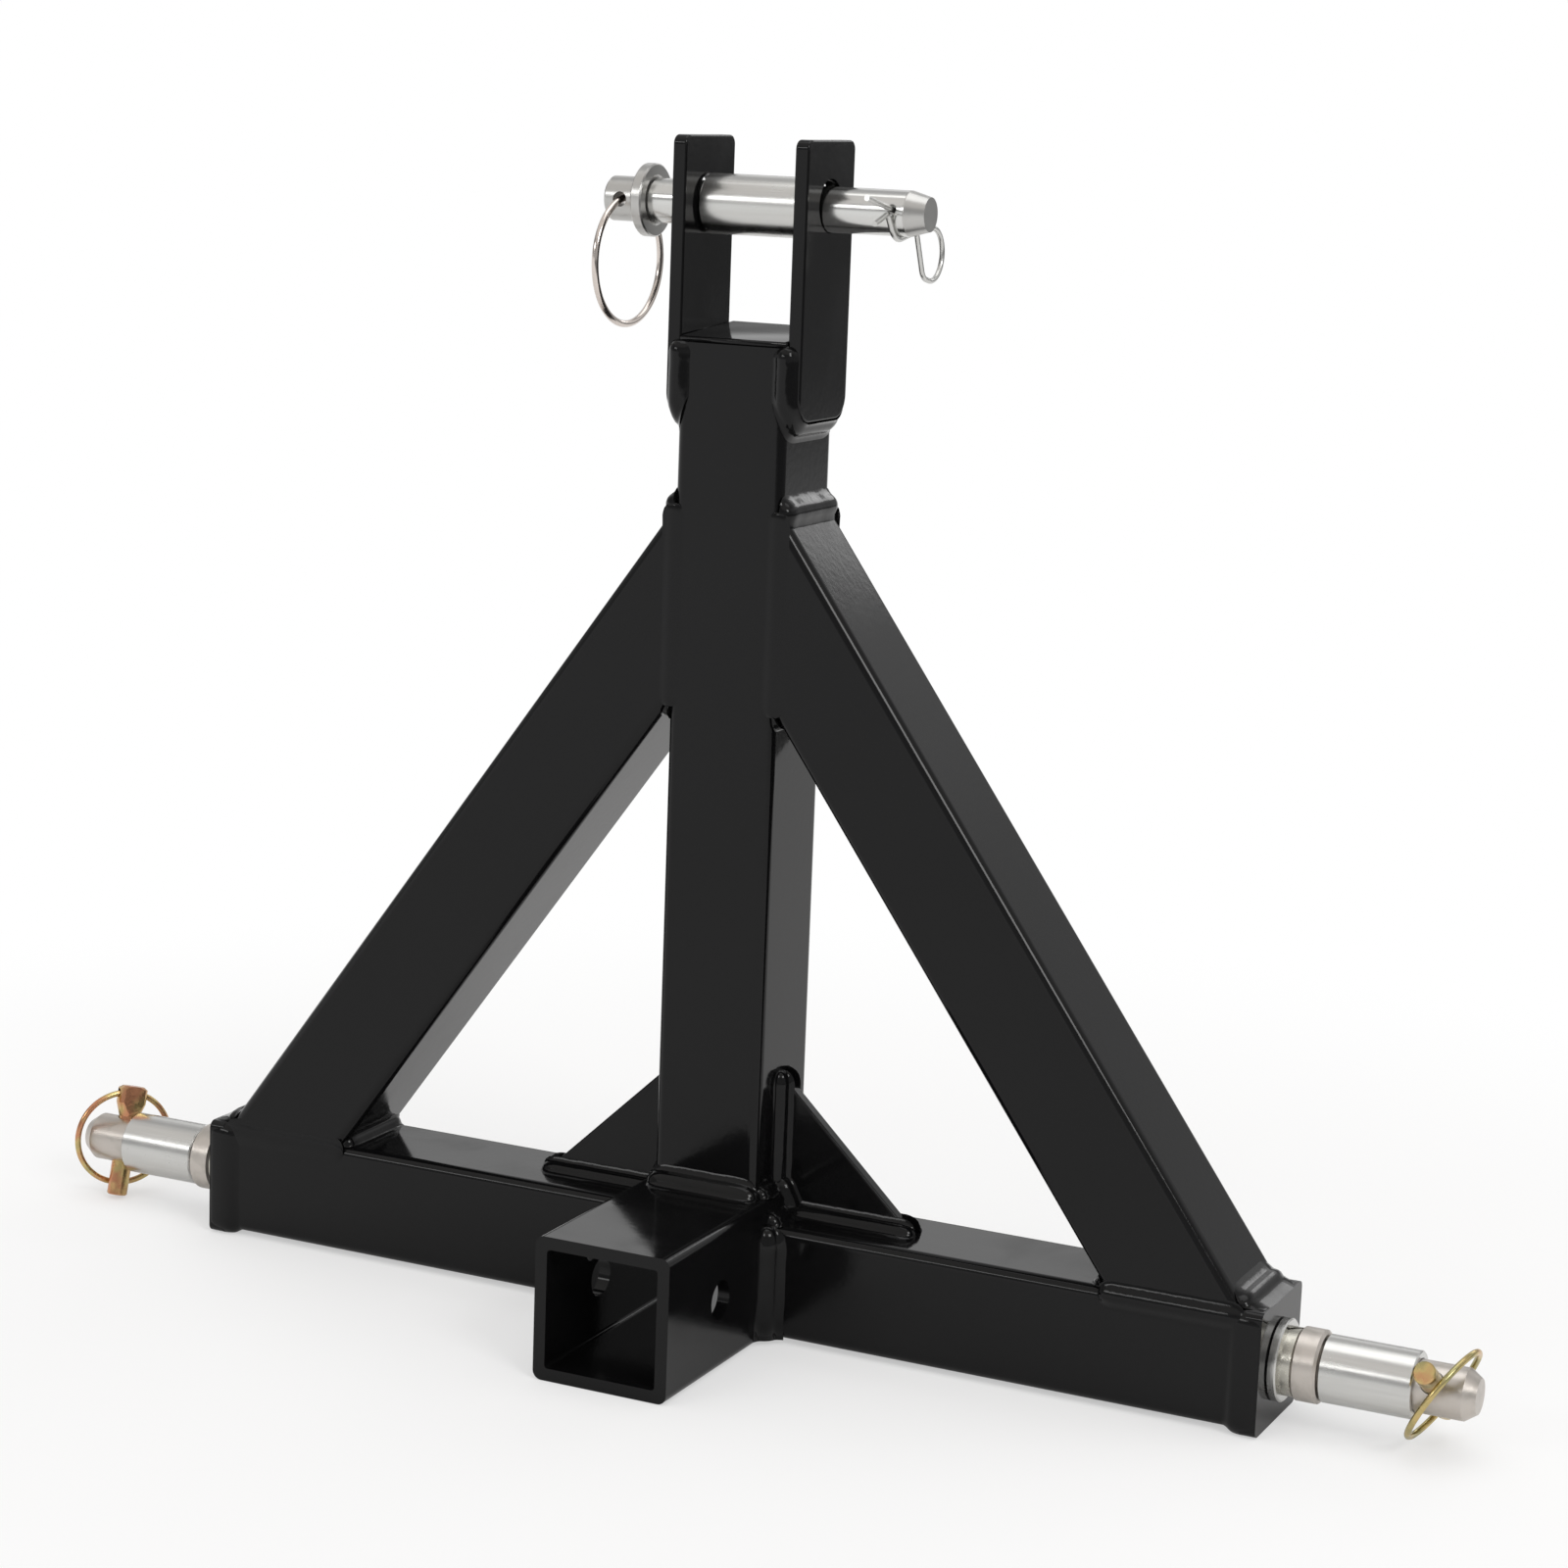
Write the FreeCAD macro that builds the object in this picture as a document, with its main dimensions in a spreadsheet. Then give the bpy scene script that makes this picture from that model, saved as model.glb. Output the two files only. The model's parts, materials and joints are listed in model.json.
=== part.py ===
import FreeCAD, Part
import math
import os
import re

import Sketcher

# Three point receiver hitch, in millimetres: X to the right along the crossbar, Y to the rear, Z up.
# The origin lies under the middle of the mast, on the plane that the hitch stands on.

SIZES = {
    # square tube of the mast, the braces and the crossbar
    "tube_side": 50.0,
    "tube_wall": 4.0,
    "tube_corner": 4.5,
    "bar_clearance": 2.0,
    "bar_reach": 249.0,
    "end_plate_side": 53.5,
    "end_plate_thickness": 7.2,
    "end_plate_corner": 3.5,
    # receiver tube
    "receiver_side": 63.0,
    "receiver_wall": 5.5,
    "receiver_corner": 4.0,
    "receiver_mouth_corner": 1.5,
    "receiver_reach": 117.0,
    "hitch_bore": 17.0,
    "hitch_bore_setback": 48.5,
    # mast, braces and gussets
    "link_height": 460.0,
    "throat_depth": 57.0,
    "cap_thickness": 4.0,
    "cap_margin": 0.5,
    "brace_setback": 1.0,
    "brace_drop": 69.0,
    "gusset_width": 65.0,
    "gusset_height": 62.0,
    "gusset_thickness": 6.0,
    "plate_edge": 1.0,
    # ears of the top clevis
    "ear_thickness": 6.4,
    "ear_width": 46.0,
    "ear_crown": 27.0,
    "ear_height": 116.5,
    "ear_hole_play": 3.5,
    "ear_crown_corner": 4.0,
    "ear_foot_corner": 10.0,
    # top pin with its collar, sleeve, pull ring and spring clip
    "top_pin_diameter": 19.0,
    "top_pin_gap": 18.8,
    "top_collar_flange": 6.0,
    "top_collar_thickness": 5.0,
    "top_head_length": 16.0,
    "top_tail_length": 45.4,
    "top_nose_length": 8.4,
    "top_nose_diameter": 14.3,
    "top_head_bevel": 1.0,
    "top_sleeve_wall": 2.9,
    "top_sleeve_play": 1.0,
    "pull_hole": 6.4,
    "pull_ring_diameter": 54.0,
    "pull_ring_wire": 3.0,
    "pull_ring_yaw": 3.0,
    "clip_hole": 4.2,
    "clip_setback": 13.6,
    "clip_tilt": 11.0,
    "clip_wire": 2.3,
    "clip_leg": 35.0,
    "clip_length": 48.3,
    "clip_eye": 22.0,
    # lower pins with their washers, sleeves and lynch pins
    "low_pin_diameter": 22.0,
    "low_pin_length": 65.0,
    "low_nose_length": 5.0,
    "low_nose_diameter": 15.0,
    "low_collar_flange": 4.5,
    "low_collar_length": 11.0,
    "low_collar_bevel": 1.2,
    "washer_width": 6.2,
    "washer_thickness": 4.0,
    "lock_width": 3.2,
    "lock_thickness": 5.0,
    "lock_slit": 2.0,
    "stud_fit": 0.3,
    "nut_flats": 33.0,
    "nut_height": 18.0,
    "low_sleeve_wall": 2.95,
    "low_sleeve_length": 39.0,
    "low_sleeve_play": 0.7,
    "lynch_station": 47.0,
    "lynch_shank": 9.5,
    "lynch_tip": 15.5,
    "lynch_hinge": 11.2,
    "lynch_head_width": 14.0,
    "lynch_head_depth": 10.0,
    "lynch_head_height": 3.7,
    "lynch_eye": 4.4,
    "lynch_ring_diameter": 44.5,
    "lynch_ring_wire": 2.8,
    # gaps between pieces that turn or slide on each other
    "running_gap": 0.3,
    "bevel": 0.6,
    # radii of the weld beads
    "weld_small": 4.6,
    "weld_medium": 6.2,
    "weld_large": 7.0,
    "weld_crown": 2.8,
    "weld_toe": 4.5,
    "weld_lap": 4.0,
    # how far the beads' axes stand off the faces that they join
    "weld_lift": 0.6,
    "weld_lift_large": 1.0,
}

# turn of each lower pin about its own axis, turn of its lynch pin, and swing of the ring, in degrees
LOWER_SIDES = {
    "right": {"side": 1, "roll": -122.0, "spin": -61.0, "swing": 9.0},
    "left": {"side": -1, "roll": -15.0, "spin": 52.0, "swing": 9.0},
}

doc = FreeCAD.newDocument("ReceiverHitch")
sheet = doc.addObject("Spreadsheet::Sheet", "Sizes")
for row, (alias, value) in enumerate(SIZES.items(), 1):
    sheet.set(f"A{row}", alias)
    sheet.set(f"B{row}", str(value))
    sheet.setAlias(f"B{row}", alias)
doc.recompute()

Vector = FreeCAD.Vector
X_AXIS = Vector(1, 0, 0)
Y_AXIS = Vector(0, 1, 0)
Z_AXIS = Vector(0, 0, 1)

# places that several pieces share, as formulas over the sheet
HALF = "(tube_side / 2)"
BAR_TOP = "(bar_clearance + tube_side)"
RECEIVER_HALF = "(receiver_side / 2)"
LOWER_AXIS = "(bar_clearance + tube_side / 2)"
UPPER_AXIS = f"({LOWER_AXIS} + link_height)"
MAST_TOP = f"({UPPER_AXIS} - throat_depth)"
EAR_FACE = f"({HALF} + ear_thickness)"
EAR_HOLE = "(top_pin_diameter + ear_hole_play)"
EAR_HOLE_AXIS = f"({UPPER_AXIS} + ear_hole_play / 2 - running_gap)"
EAR_TOP = f"({EAR_HOLE_AXIS} + ear_crown)"
PLATE_FACE = "(bar_reach + end_plate_thickness)"
COLLAR_INNER = "(washer_thickness + lock_thickness)"
STUD_BORE = "(low_pin_diameter + 2 * stud_fit)"
TOP_SLEEVE_BORE = "(top_pin_diameter + 2 * running_gap)"
LOW_SLEEVE_BORE = "(low_pin_diameter + 2 * running_gap)"
TOP_COLLAR = "(top_pin_diameter + 2 * top_collar_flange)"
LOW_COLLAR = "(low_pin_diameter + 2 * low_collar_flange)"
SHOULDER = f"({COLLAR_INNER} + low_collar_length)"
BRACE_FOOT = "(bar_reach - brace_setback)"
BRACE_HEAD = f"({MAST_TOP} - brace_drop)"
BRACE_RUN = f"({BRACE_FOOT} - {HALF})"
BRACE_RISE = f"({BRACE_HEAD} - {BAR_TOP})"
BRACE_SLOPE = f"sqrt({BRACE_RUN} ^ 2 + {BRACE_RISE} ^ 2)"
FOOT_WIDTH = f"(tube_side * {BRACE_SLOPE} / {BRACE_RISE})"
HEAD_HEIGHT = f"(tube_side * {BRACE_SLOPE} / {BRACE_RUN})"
GUSSET_TOE = f"({HALF} + gusset_width)"
COLLAR_LEFT = f"(-{EAR_FACE} - top_pin_gap - top_collar_thickness)"
PULL_PLACE = f"({COLLAR_LEFT} - top_head_length / 2)"
TAIL_END = f"({EAR_FACE} + top_tail_length)"
CLIP_PLACE = f"({TAIL_END} - clip_setback)"
LYNCH_HINGE = "(low_pin_diameter / 2 + lynch_hinge)"

nodes = []


def bound(formula):
    """The formula with each size written as a cell of the sheet."""
    return re.sub(r"[a-z][a-z_]+", lambda m: f"Sizes.{m[0]}" if m[0] in SIZES else m[0], str(formula))


def number(formula):
    """The value of a formula now."""
    found = sheet.evalExpression(bound(formula))
    return float(getattr(found, "Value", found))


def point(x, y, z):
    return Vector(number(x), number(y), number(z))


def place(piece, x=0, y=0, z=0, rotation=None):
    """Sets where a piece stands, its coordinates bound to the sheet."""
    turn = rotation or FreeCAD.Rotation()
    piece.Placement = FreeCAD.Placement(point(x, y, z), turn)
    for axis, formula in zip("xyz", (x, y, z)):
        piece.setExpression(f"Placement.Base.{axis}", bound(formula))


# sketches and features

def new_body(label):
    body = doc.addObject("PartDesign::Body", label)
    body.Label = label
    nodes.append(body)
    return body


def new_sketch(body, name, role, lift=0, turn=None):
    """A sketch on one of the body's own origin planes, lifted and turned if asked."""
    sketch = body.newObject("Sketcher::SketchObject", f"{body.Label}_{name}")
    plane = next(f for f in body.Origin.OriginFeatures if f.Role == role)
    sketch.AttachmentSupport = [(plane, "")]
    sketch.MapMode = "FlatFace"
    rotation = turn or FreeCAD.Rotation()
    sketch.AttachmentOffset = FreeCAD.Placement(Vector(0, 0, number(lift)), rotation)
    sketch.setExpression("AttachmentOffset.Base.z", bound(lift))
    return sketch


def bind(sketch, kind, geometry, vertex, formula):
    index = sketch.addConstraint(Sketcher.Constraint(kind, geometry, vertex, number(formula)))
    sketch.setExpression(f"Constraints[{index}]", bound(formula))


def polygon(body, name, role, corners, lift=0):
    """A closed outline whose corners are pairs of formulas."""
    sketch = new_sketch(body, name, role, lift)
    places = [Vector(number(a), number(b), 0) for a, b in corners]
    count = len(places)
    for i in range(count):
        sketch.addGeometry(Part.LineSegment(places[i], places[(i + 1) % count]))
    for i in range(count):
        sketch.addConstraint(Sketcher.Constraint("Coincident", i, 2, (i + 1) % count, 1))
    for i, (a, b) in enumerate(corners):
        bind(sketch, "DistanceX", i, 1, a)
        bind(sketch, "DistanceY", i, 1, b)
    return sketch


def rectangle(body, name, role, left, right, bottom, top, lift=0):
    corners = [(left, bottom), (right, bottom), (right, top), (left, top)]
    return polygon(body, name, role, corners, lift)


def square(body, name, side):
    half = f"({side}) / 2"
    return rectangle(body, name, "XY_Plane", f"-{half}", half, f"-{half}", half)


def circle(body, name, role, a, b, diameter, lift=0, turn=None):
    sketch = new_sketch(body, name, role, lift, turn)
    centre = Vector(number(a), number(b), 0)
    sketch.addGeometry(Part.Circle(centre, Vector(0, 0, 1), number(diameter) / 2))
    bind(sketch, "DistanceX", 0, 3, a)
    bind(sketch, "DistanceY", 0, 3, b)
    index = sketch.addConstraint(Sketcher.Constraint("Diameter", 0, number(diameter)))
    sketch.setExpression(f"Constraints[{index}]", bound(diameter))
    return sketch


def pad(body, sketch, length, symmetric=False):
    feature = body.newObject("PartDesign::Pad", f"{sketch.Name}_pad")
    feature.Profile = (sketch, [""])
    feature.Length = number(length)
    feature.setExpression("Length", bound(length))
    feature.SideType = "Symmetric" if symmetric else "One side"
    doc.recompute()
    return feature


def cut_through(body, sketch):
    """A pocket both ways through the whole solid, which must take something away."""
    before = body.Shape.Volume
    feature = body.newObject("PartDesign::Pocket", f"{sketch.Name}_cut")
    feature.Profile = (sketch, [""])
    feature.SideType = "Symmetric"
    feature.Type = "ThroughAll"
    doc.recompute()
    assert body.Shape.Volume < before, sketch.Name
    return feature


def cut_slab(body, sketch, depth):
    """A pocket of a given depth, half of it on each side of the sketch."""
    before = body.Shape.Volume
    feature = body.newObject("PartDesign::Pocket", f"{sketch.Name}_cut")
    feature.Profile = (sketch, [""])
    feature.SideType = "Symmetric"
    feature.Length = number(depth)
    feature.setExpression("Length", bound(depth))
    doc.recompute()
    assert body.Shape.Volume < before, sketch.Name
    return feature


def revolve(body, sketch):
    """Turns a profile about the sketch's own horizontal axis."""
    feature = body.newObject("PartDesign::Revolution", f"{sketch.Name}_turn")
    feature.Profile = (sketch, [""])
    feature.ReferenceAxis = (sketch, ["H_Axis"])
    feature.Angle = 360.0
    doc.recompute()
    return feature


def edges_along(feature, direction, shortest=0.0, where=None):
    """Names of the straight edges that run along a direction."""
    found = []
    for i, edge in enumerate(feature.Shape.Edges, 1):
        if not isinstance(edge.Curve, (Part.Line, Part.LineSegment)) or edge.Length < shortest:
            continue
        run = edge.Vertexes[-1].Point - edge.Vertexes[0].Point
        if run.Length < 1e-6 or abs(abs(run.normalize().dot(direction)) - 1) > 1e-6:
            continue
        if where is None or where(edge.CenterOfMass):
            found.append(f"Edge{i}")
    return found


def edges_where(feature, test):
    return [f"Edge{i}" for i, e in enumerate(feature.Shape.Edges, 1) if test(e)]


def dress(body, kind, feature, edges, size, tag):
    """A fillet or chamfer on named edges, its size bound to the sheet."""
    finish = body.newObject(f"PartDesign::{kind}", f"{body.Label}_{tag}")
    finish.Base = (feature, edges)
    prop = "Radius" if kind == "Fillet" else "Size"
    setattr(finish, prop, number(size))
    finish.setExpression(prop, bound(size))
    doc.recompute()
    return finish


def outline_of(body, feature):
    """A feature's solid where the body stands, used to trim the weld beads."""
    shape = feature.Shape.copy()
    shape.Placement = body.Placement.multiply(shape.Placement)
    return shape


trimmers = []


# square tubes

def section_block(label, side, corner, length):
    """A square bar along local Z with rounded long edges."""
    body = new_body(label)
    solid = pad(body, square(body, "section", side), length)
    rounded = dress(body, "Fillet", solid, edges_along(solid, Z_AXIS), corner, "corners")
    return body, rounded


def hollow(body, side, wall):
    return cut_through(body, square(body, "hollow", f"{side} - 2 * {wall}"))


def build_mast():
    body, rounded = section_block("mast", "tube_side", "tube_corner", f"{MAST_TOP} - receiver_side")
    hollow(body, "tube_side", "tube_wall")
    place(body, z="receiver_side")
    trimmers.append(outline_of(body, rounded))


def build_crossbar(name, side):
    length = f"bar_reach - {RECEIVER_HALF}"
    body, rounded = section_block(f"crossbar_{name}", "tube_side", "tube_corner", length)
    hollow(body, "tube_side", "tube_wall")
    start = RECEIVER_HALF if side > 0 else "-bar_reach"
    place(body, x=start, z=LOWER_AXIS, rotation=FreeCAD.Rotation(Y_AXIS, 90))
    trimmers.append(outline_of(body, rounded))


def build_end_plate(name, side):
    label = f"end_plate_{name}"
    thickness = "end_plate_thickness"
    body, rounded = section_block(label, "end_plate_side", "end_plate_corner", thickness)
    cut_through(body, circle(body, "stud_hole", "XY_Plane", 0, 0, STUD_BORE))
    start = "bar_reach" if side > 0 else f"-{PLATE_FACE}"
    place(body, x=start, z=LOWER_AXIS, rotation=FreeCAD.Rotation(Y_AXIS, 90))
    trimmers.append(outline_of(body, rounded))


def build_receiver():
    length = f"receiver_reach + {HALF}"
    body, rounded = section_block("receiver_tube", "receiver_side", "receiver_corner", length)
    socket = hollow(body, "receiver_side", "receiver_wall")
    inner = number("receiver_side / 2 - receiver_wall")
    corners = edges_along(socket, Z_AXIS, where=lambda c: abs(abs(c.x) - inner) < 0.01)
    dress(body, "Fillet", socket, corners, "receiver_mouth_corner", "socket_corners")
    bore = circle(body, "bore", "YZ_Plane", 0, "hitch_bore_setback", "hitch_bore")
    cut_through(body, bore)
    place(body, y="-receiver_reach", z=RECEIVER_HALF, rotation=FreeCAD.Rotation(X_AXIS, -90))
    trimmers.append(outline_of(body, rounded))


def build_brace(name, side):
    """A tube mitred to the mast's side at its head and to the crossbar's top at its foot."""
    body = new_body(f"brace_{name}")
    outline = [
        (f"{side} * {BRACE_FOOT}", BAR_TOP),
        (f"{side} * {HALF}", BRACE_HEAD),
        (f"{side} * {HALF}", f"{BRACE_HEAD} - {HEAD_HEIGHT}"),
        (f"{side} * ({BRACE_FOOT} - {FOOT_WIDTH})", BAR_TOP),
    ]
    solid = pad(body, polygon(body, "outline", "XZ_Plane", outline), "tube_side", symmetric=True)
    down = Vector(side * number(BRACE_RUN), 0, -number(BRACE_RISE)).normalize()
    rounded = dress(body, "Fillet", solid, edges_along(solid, down), "tube_corner", "corners")
    # the bore runs past both mitres by a tenth of the slope
    skin = f"tube_wall * {BRACE_SLOPE} / {BRACE_RISE}"
    over_x = f"{BRACE_RUN} / 10"
    over_z = f"{BRACE_RISE} / 10"
    outer_line = f"{BRACE_FOOT} - {skin}"
    inner_line = f"{BRACE_FOOT} - {FOOT_WIDTH} + {skin}"
    channel = [
        (f"{side} * ({outer_line} + {over_x})", f"{BAR_TOP} - {over_z}"),
        (f"{side} * ({outer_line} - {BRACE_RUN} - {over_x})", f"{BRACE_HEAD} + {over_z}"),
        (f"{side} * ({inner_line} - {BRACE_RUN} - {over_x})", f"{BRACE_HEAD} + {over_z}"),
        (f"{side} * ({inner_line} + {over_x})", f"{BAR_TOP} - {over_z}"),
    ]
    cut_slab(body, polygon(body, "channel", "XZ_Plane", channel), "tube_side - 2 * tube_wall")
    trimmers.append(outline_of(body, rounded))


# flat plates

def build_cap():
    body = new_body("mast_cap")
    plate = pad(body, square(body, "outline", "tube_side - 2 * cap_margin"), "cap_thickness")
    top = number("cap_thickness")
    rim = edges_where(plate, lambda e: abs(e.CenterOfMass.z - top) < 1e-6)
    dress(body, "Fillet", plate, rim, "plate_edge", "rim")
    place(body, z=MAST_TOP)
    trimmers.append(outline_of(body, body.Tip))


def build_ear(name, side):
    body = new_body(f"clevis_ear_{name}")
    foot = f"{EAR_TOP} - ear_height"
    outline = rectangle(
        body, "outline", "YZ_Plane", "-ear_width / 2", "ear_width / 2", foot, EAR_TOP
    )
    plate = pad(body, outline, "ear_thickness")
    top = number(EAR_TOP)
    crown = edges_along(plate, X_AXIS, where=lambda c: abs(c.z - top) < 1e-6)
    plate = dress(body, "Fillet", plate, crown, "ear_crown_corner", "crown")
    bottom = number(foot)
    toes = edges_along(plate, X_AXIS, where=lambda c: abs(c.z - bottom) < 1e-6)
    plate = dress(body, "Fillet", plate, toes, "ear_foot_corner", "foot")
    thick = number("ear_thickness")
    rim = edges_where(plate, lambda e: min(e.CenterOfMass.x, thick - e.CenterOfMass.x) < 1e-6)
    plate = dress(body, "Fillet", plate, rim, "plate_edge", "rim")
    cut_through(body, circle(body, "pin_hole", "YZ_Plane", 0, EAR_HOLE_AXIS, EAR_HOLE))
    place(body, x=HALF if side > 0 else f"-{EAR_FACE}")
    trimmers.append(outline_of(body, plate))


def build_gusset(name, side):
    """A corner plate on the middle of the tubes, notched over the receiver's shoulder."""
    body = new_body(f"gusset_{name}")
    outline = [
        (f"{side} * {HALF}", "receiver_side"),
        (f"{side} * {RECEIVER_HALF}", "receiver_side"),
        (f"{side} * {RECEIVER_HALF}", BAR_TOP),
        (f"{side} * {GUSSET_TOE}", BAR_TOP),
        (f"{side} * {HALF}", f"{BAR_TOP} + gusset_height"),
    ]
    sketch = polygon(body, "outline", "XZ_Plane", outline)
    plate = pad(body, sketch, "gusset_thickness", symmetric=True)
    slope = Vector(side * number("gusset_width"), 0, -number("gusset_height")).normalize()
    dress(body, "Fillet", plate, edges_along(plate, slope), "plate_edge", "edge")
    trimmers.append(outline_of(body, plate))


# weld beads: round ropes laid in the seams and trimmed by all that they touch

def rope(route, radius):
    """Round bars between the points of a route, with a ball at each point."""
    parts = [Part.makeSphere(radius, p) for p in route]
    for a, b in zip(route, route[1:]):
        parts.append(Part.makeCylinder(radius, (b - a).Length, a, b - a))
    return parts[0].multiFuse(parts[1:])


def add_weld(label, shape):
    """Keeps what lies outside the tubes, plates and earlier beads."""
    near = [t for t in trimmers if t.BoundBox.intersect(shape.BoundBox)]
    left = shape.cut(near)
    solids = sorted(left.Solids, key=lambda s: -s.Volume)
    body = doc.addObject("Part::Feature", label)
    body.Label = label
    body.Shape = solids[0].removeSplitter()
    nodes.append(body)
    trimmers.append(body.Shape)


def weld_end_plate(name, side):
    """A flat band round the seam of an end plate, level with the ground below."""
    crown = number("weld_crown")
    reach = number(HALF) + crown
    band = number("weld_toe + weld_lap")
    top = number(BAR_TOP) + crown
    block = Part.makeBox(band, 2 * reach, top, Vector(0, -reach, 0))
    along = [e for e in block.Edges if abs(e.BoundBox.XLength - band) < 1e-6]
    block = block.makeFillet(number("tube_corner") + crown, along)
    # the dome of the band is an ellipse's end in section, made by its two rims' fillets
    rims = [e for e in block.Edges if e.BoundBox.XLength < 1e-6 and e.CenterOfMass.z > 1e-3]
    block = block.makeFillet(0.9 * crown, rims)
    start = number("bar_reach - weld_toe")
    x = start if side > 0 else -start - band
    block.translate(Vector(x, 0, 0))
    add_weld(f"weld_end_plate_{name}", block)


def weld_brace_foot(name, side):
    radius = number("weld_small")
    deep = number(HALF) - 0.75 * radius
    level = number(BAR_TOP)
    outer = side * number(f"{BRACE_FOOT} + weld_lift / 3")
    inner = side * number(f"{BRACE_FOOT} - {FOOT_WIDTH}")
    corners = [(outer, -deep), (inner, -deep), (inner, deep), (outer, deep), (outer, -deep)]
    add_weld(f"weld_brace_foot_{name}", rope([Vector(x, y, level) for x, y in corners], radius))


def weld_brace_head(name, side):
    radius = number("weld_small")
    deep = number(HALF) - 0.6 * radius
    x = side * number(f"{HALF} + weld_lift")
    top = number(f"{BRACE_HEAD} + weld_lift")
    low = top - number(HEAD_HEIGHT)
    corners = [(-deep, top), (-deep, low), (deep, low), (deep, top), (-deep, top)]
    add_weld(f"weld_brace_head_{name}", rope([Vector(x, y, z) for y, z in corners], radius))


def weld_ear(name, side):
    radius = number("weld_small")
    deep = number("ear_width / 2 + weld_lift / 2")
    foot = number(f"{EAR_TOP} - ear_height")
    bend = number("ear_foot_corner")
    top = number(MAST_TOP) - radius / 2
    x = side * number(f"{HALF} + weld_lift")
    right = [(-deep, top), (-deep, foot + bend), (-deep + bend * 0.6, foot)]
    corners = right + [(-y, z) for y, z in reversed(right)]
    add_weld(f"weld_ear_{name}", rope([Vector(x, y, z) for y, z in corners], radius))


def weld_receiver(name, side, face, where):
    """Half of the seam between the receiver and a crossbar, up one face and over the top."""
    radius = number("weld_large")
    x = side * number(f"{RECEIVER_HALF} + weld_lift_large")
    deep = number(f"{HALF} + weld_lift_large") if where < 0 else number(HALF) - 0.6 * radius
    low = number("bar_clearance") + radius
    top = number(BAR_TOP)
    corners = [(deep, low), (deep, top), (number("gusset_thickness"), top)]
    route = [Vector(x, where * y, z) for y, z in corners]
    add_weld(f"weld_receiver_{name}_{face}", rope(route, radius))


def weld_mast_foot(face, where):
    """Half of the seam round the mast's foot, from one gusset to the other."""
    radius = number("weld_large")
    reach = number(f"{HALF} + weld_lift")
    deep = reach if where < 0 else number(HALF) - 0.6 * radius
    start = number("gusset_thickness")
    level = number("receiver_side + weld_lift")
    corners = [(-reach, start), (-reach, deep), (reach, deep), (reach, start)]
    add_weld(f"weld_mast_foot_{face}", rope([Vector(x, where * y, level) for x, y in corners], radius))


def weld_gusset(name, side, face, where):
    radius = number("weld_medium")
    y = where * number("gusset_thickness / 2 + weld_lift")
    mast_x = number(f"{HALF} + weld_lift")
    shelf = number("receiver_side + weld_lift")
    step_x = number(f"{RECEIVER_HALF} + weld_lift")
    level = number(f"{BAR_TOP} + weld_lift")
    corners = [
        (mast_x, level + number("gusset_height") - radius / 3),
        (mast_x, shelf),
        (step_x, shelf),
        (step_x, level),
        (number(GUSSET_TOE) - radius / 2, level),
    ]
    route = [Vector(side * x, y, z) for x, z in corners]
    add_weld(f"weld_gusset_{name}_{face}", rope(route, radius))


# turned pieces, with the sketch's horizontal axis as their own axis

def turned(label, profile):
    body = new_body(label)
    revolve(body, polygon(body, "profile", "XY_Plane", profile))
    return body


def sleeve(label, length, outer, bore):
    """A plain tube along local X from 0, with bevelled rims."""
    return turned(
        label,
        [
            (0, f"{bore} / 2"),
            (0, f"{outer} / 2 - bevel"),
            ("bevel", f"{outer} / 2"),
            (f"{length} - bevel", f"{outer} / 2"),
            (length, f"{outer} / 2 - bevel"),
            (length, f"{bore} / 2"),
        ],
    )


def build_top_pin():
    body = turned(
        "top_pin",
        [
            (f"{COLLAR_LEFT} - top_head_length", 0),
            (f"{COLLAR_LEFT} - top_head_length", "top_pin_diameter / 2 - top_head_bevel"),
            (f"{COLLAR_LEFT} - top_head_length + top_head_bevel", "top_pin_diameter / 2"),
            (f"{TAIL_END} - top_nose_length", "top_pin_diameter / 2"),
            (TAIL_END, "top_nose_diameter / 2"),
            (TAIL_END, 0),
        ],
    )
    cut_through(body, circle(body, "pull_hole", "XZ_Plane", PULL_PLACE, 0, "pull_hole"))
    tilt = FreeCAD.Rotation(X_AXIS, -number("clip_tilt"))
    clip_hole = circle(body, "clip_hole", "XZ_Plane", CLIP_PLACE, 0, "clip_hole", turn=tilt)
    cut_through(body, clip_hole)
    place(body, z=UPPER_AXIS)


def build_top_collar():
    body = turned(
        "top_pin_collar",
        [
            (0, "top_pin_diameter / 2"),
            (0, f"{TOP_COLLAR} / 2 - bevel"),
            ("bevel", f"{TOP_COLLAR} / 2"),
            ("top_collar_thickness - bevel", f"{TOP_COLLAR} / 2"),
            ("top_collar_thickness", f"{TOP_COLLAR} / 2 - bevel"),
            ("top_collar_thickness", "top_pin_diameter / 2 + 2 * bevel"),
            ("top_collar_thickness - bevel", "top_pin_diameter / 2"),
        ],
    )
    place(body, x=COLLAR_LEFT, z=UPPER_AXIS)


def build_top_sleeve():
    length = "(tube_side - 2 * top_sleeve_play)"
    outer = f"({TOP_SLEEVE_BORE} + 2 * top_sleeve_wall)"
    body = sleeve("top_link_sleeve", length, outer, TOP_SLEEVE_BORE)
    place(body, x=f"-{HALF} + top_sleeve_play", z=UPPER_AXIS)


def build_ring(label, diameter, wire):
    """A closed wire ring about local Z, as a node of its own."""
    ring = doc.addObject("Part::Torus", label)
    ring.Label = label
    ring.setExpression("Radius1", bound(f"{diameter} / 2"))
    ring.setExpression("Radius2", bound(f"{wire} / 2"))
    nodes.append(ring)
    return ring


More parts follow.
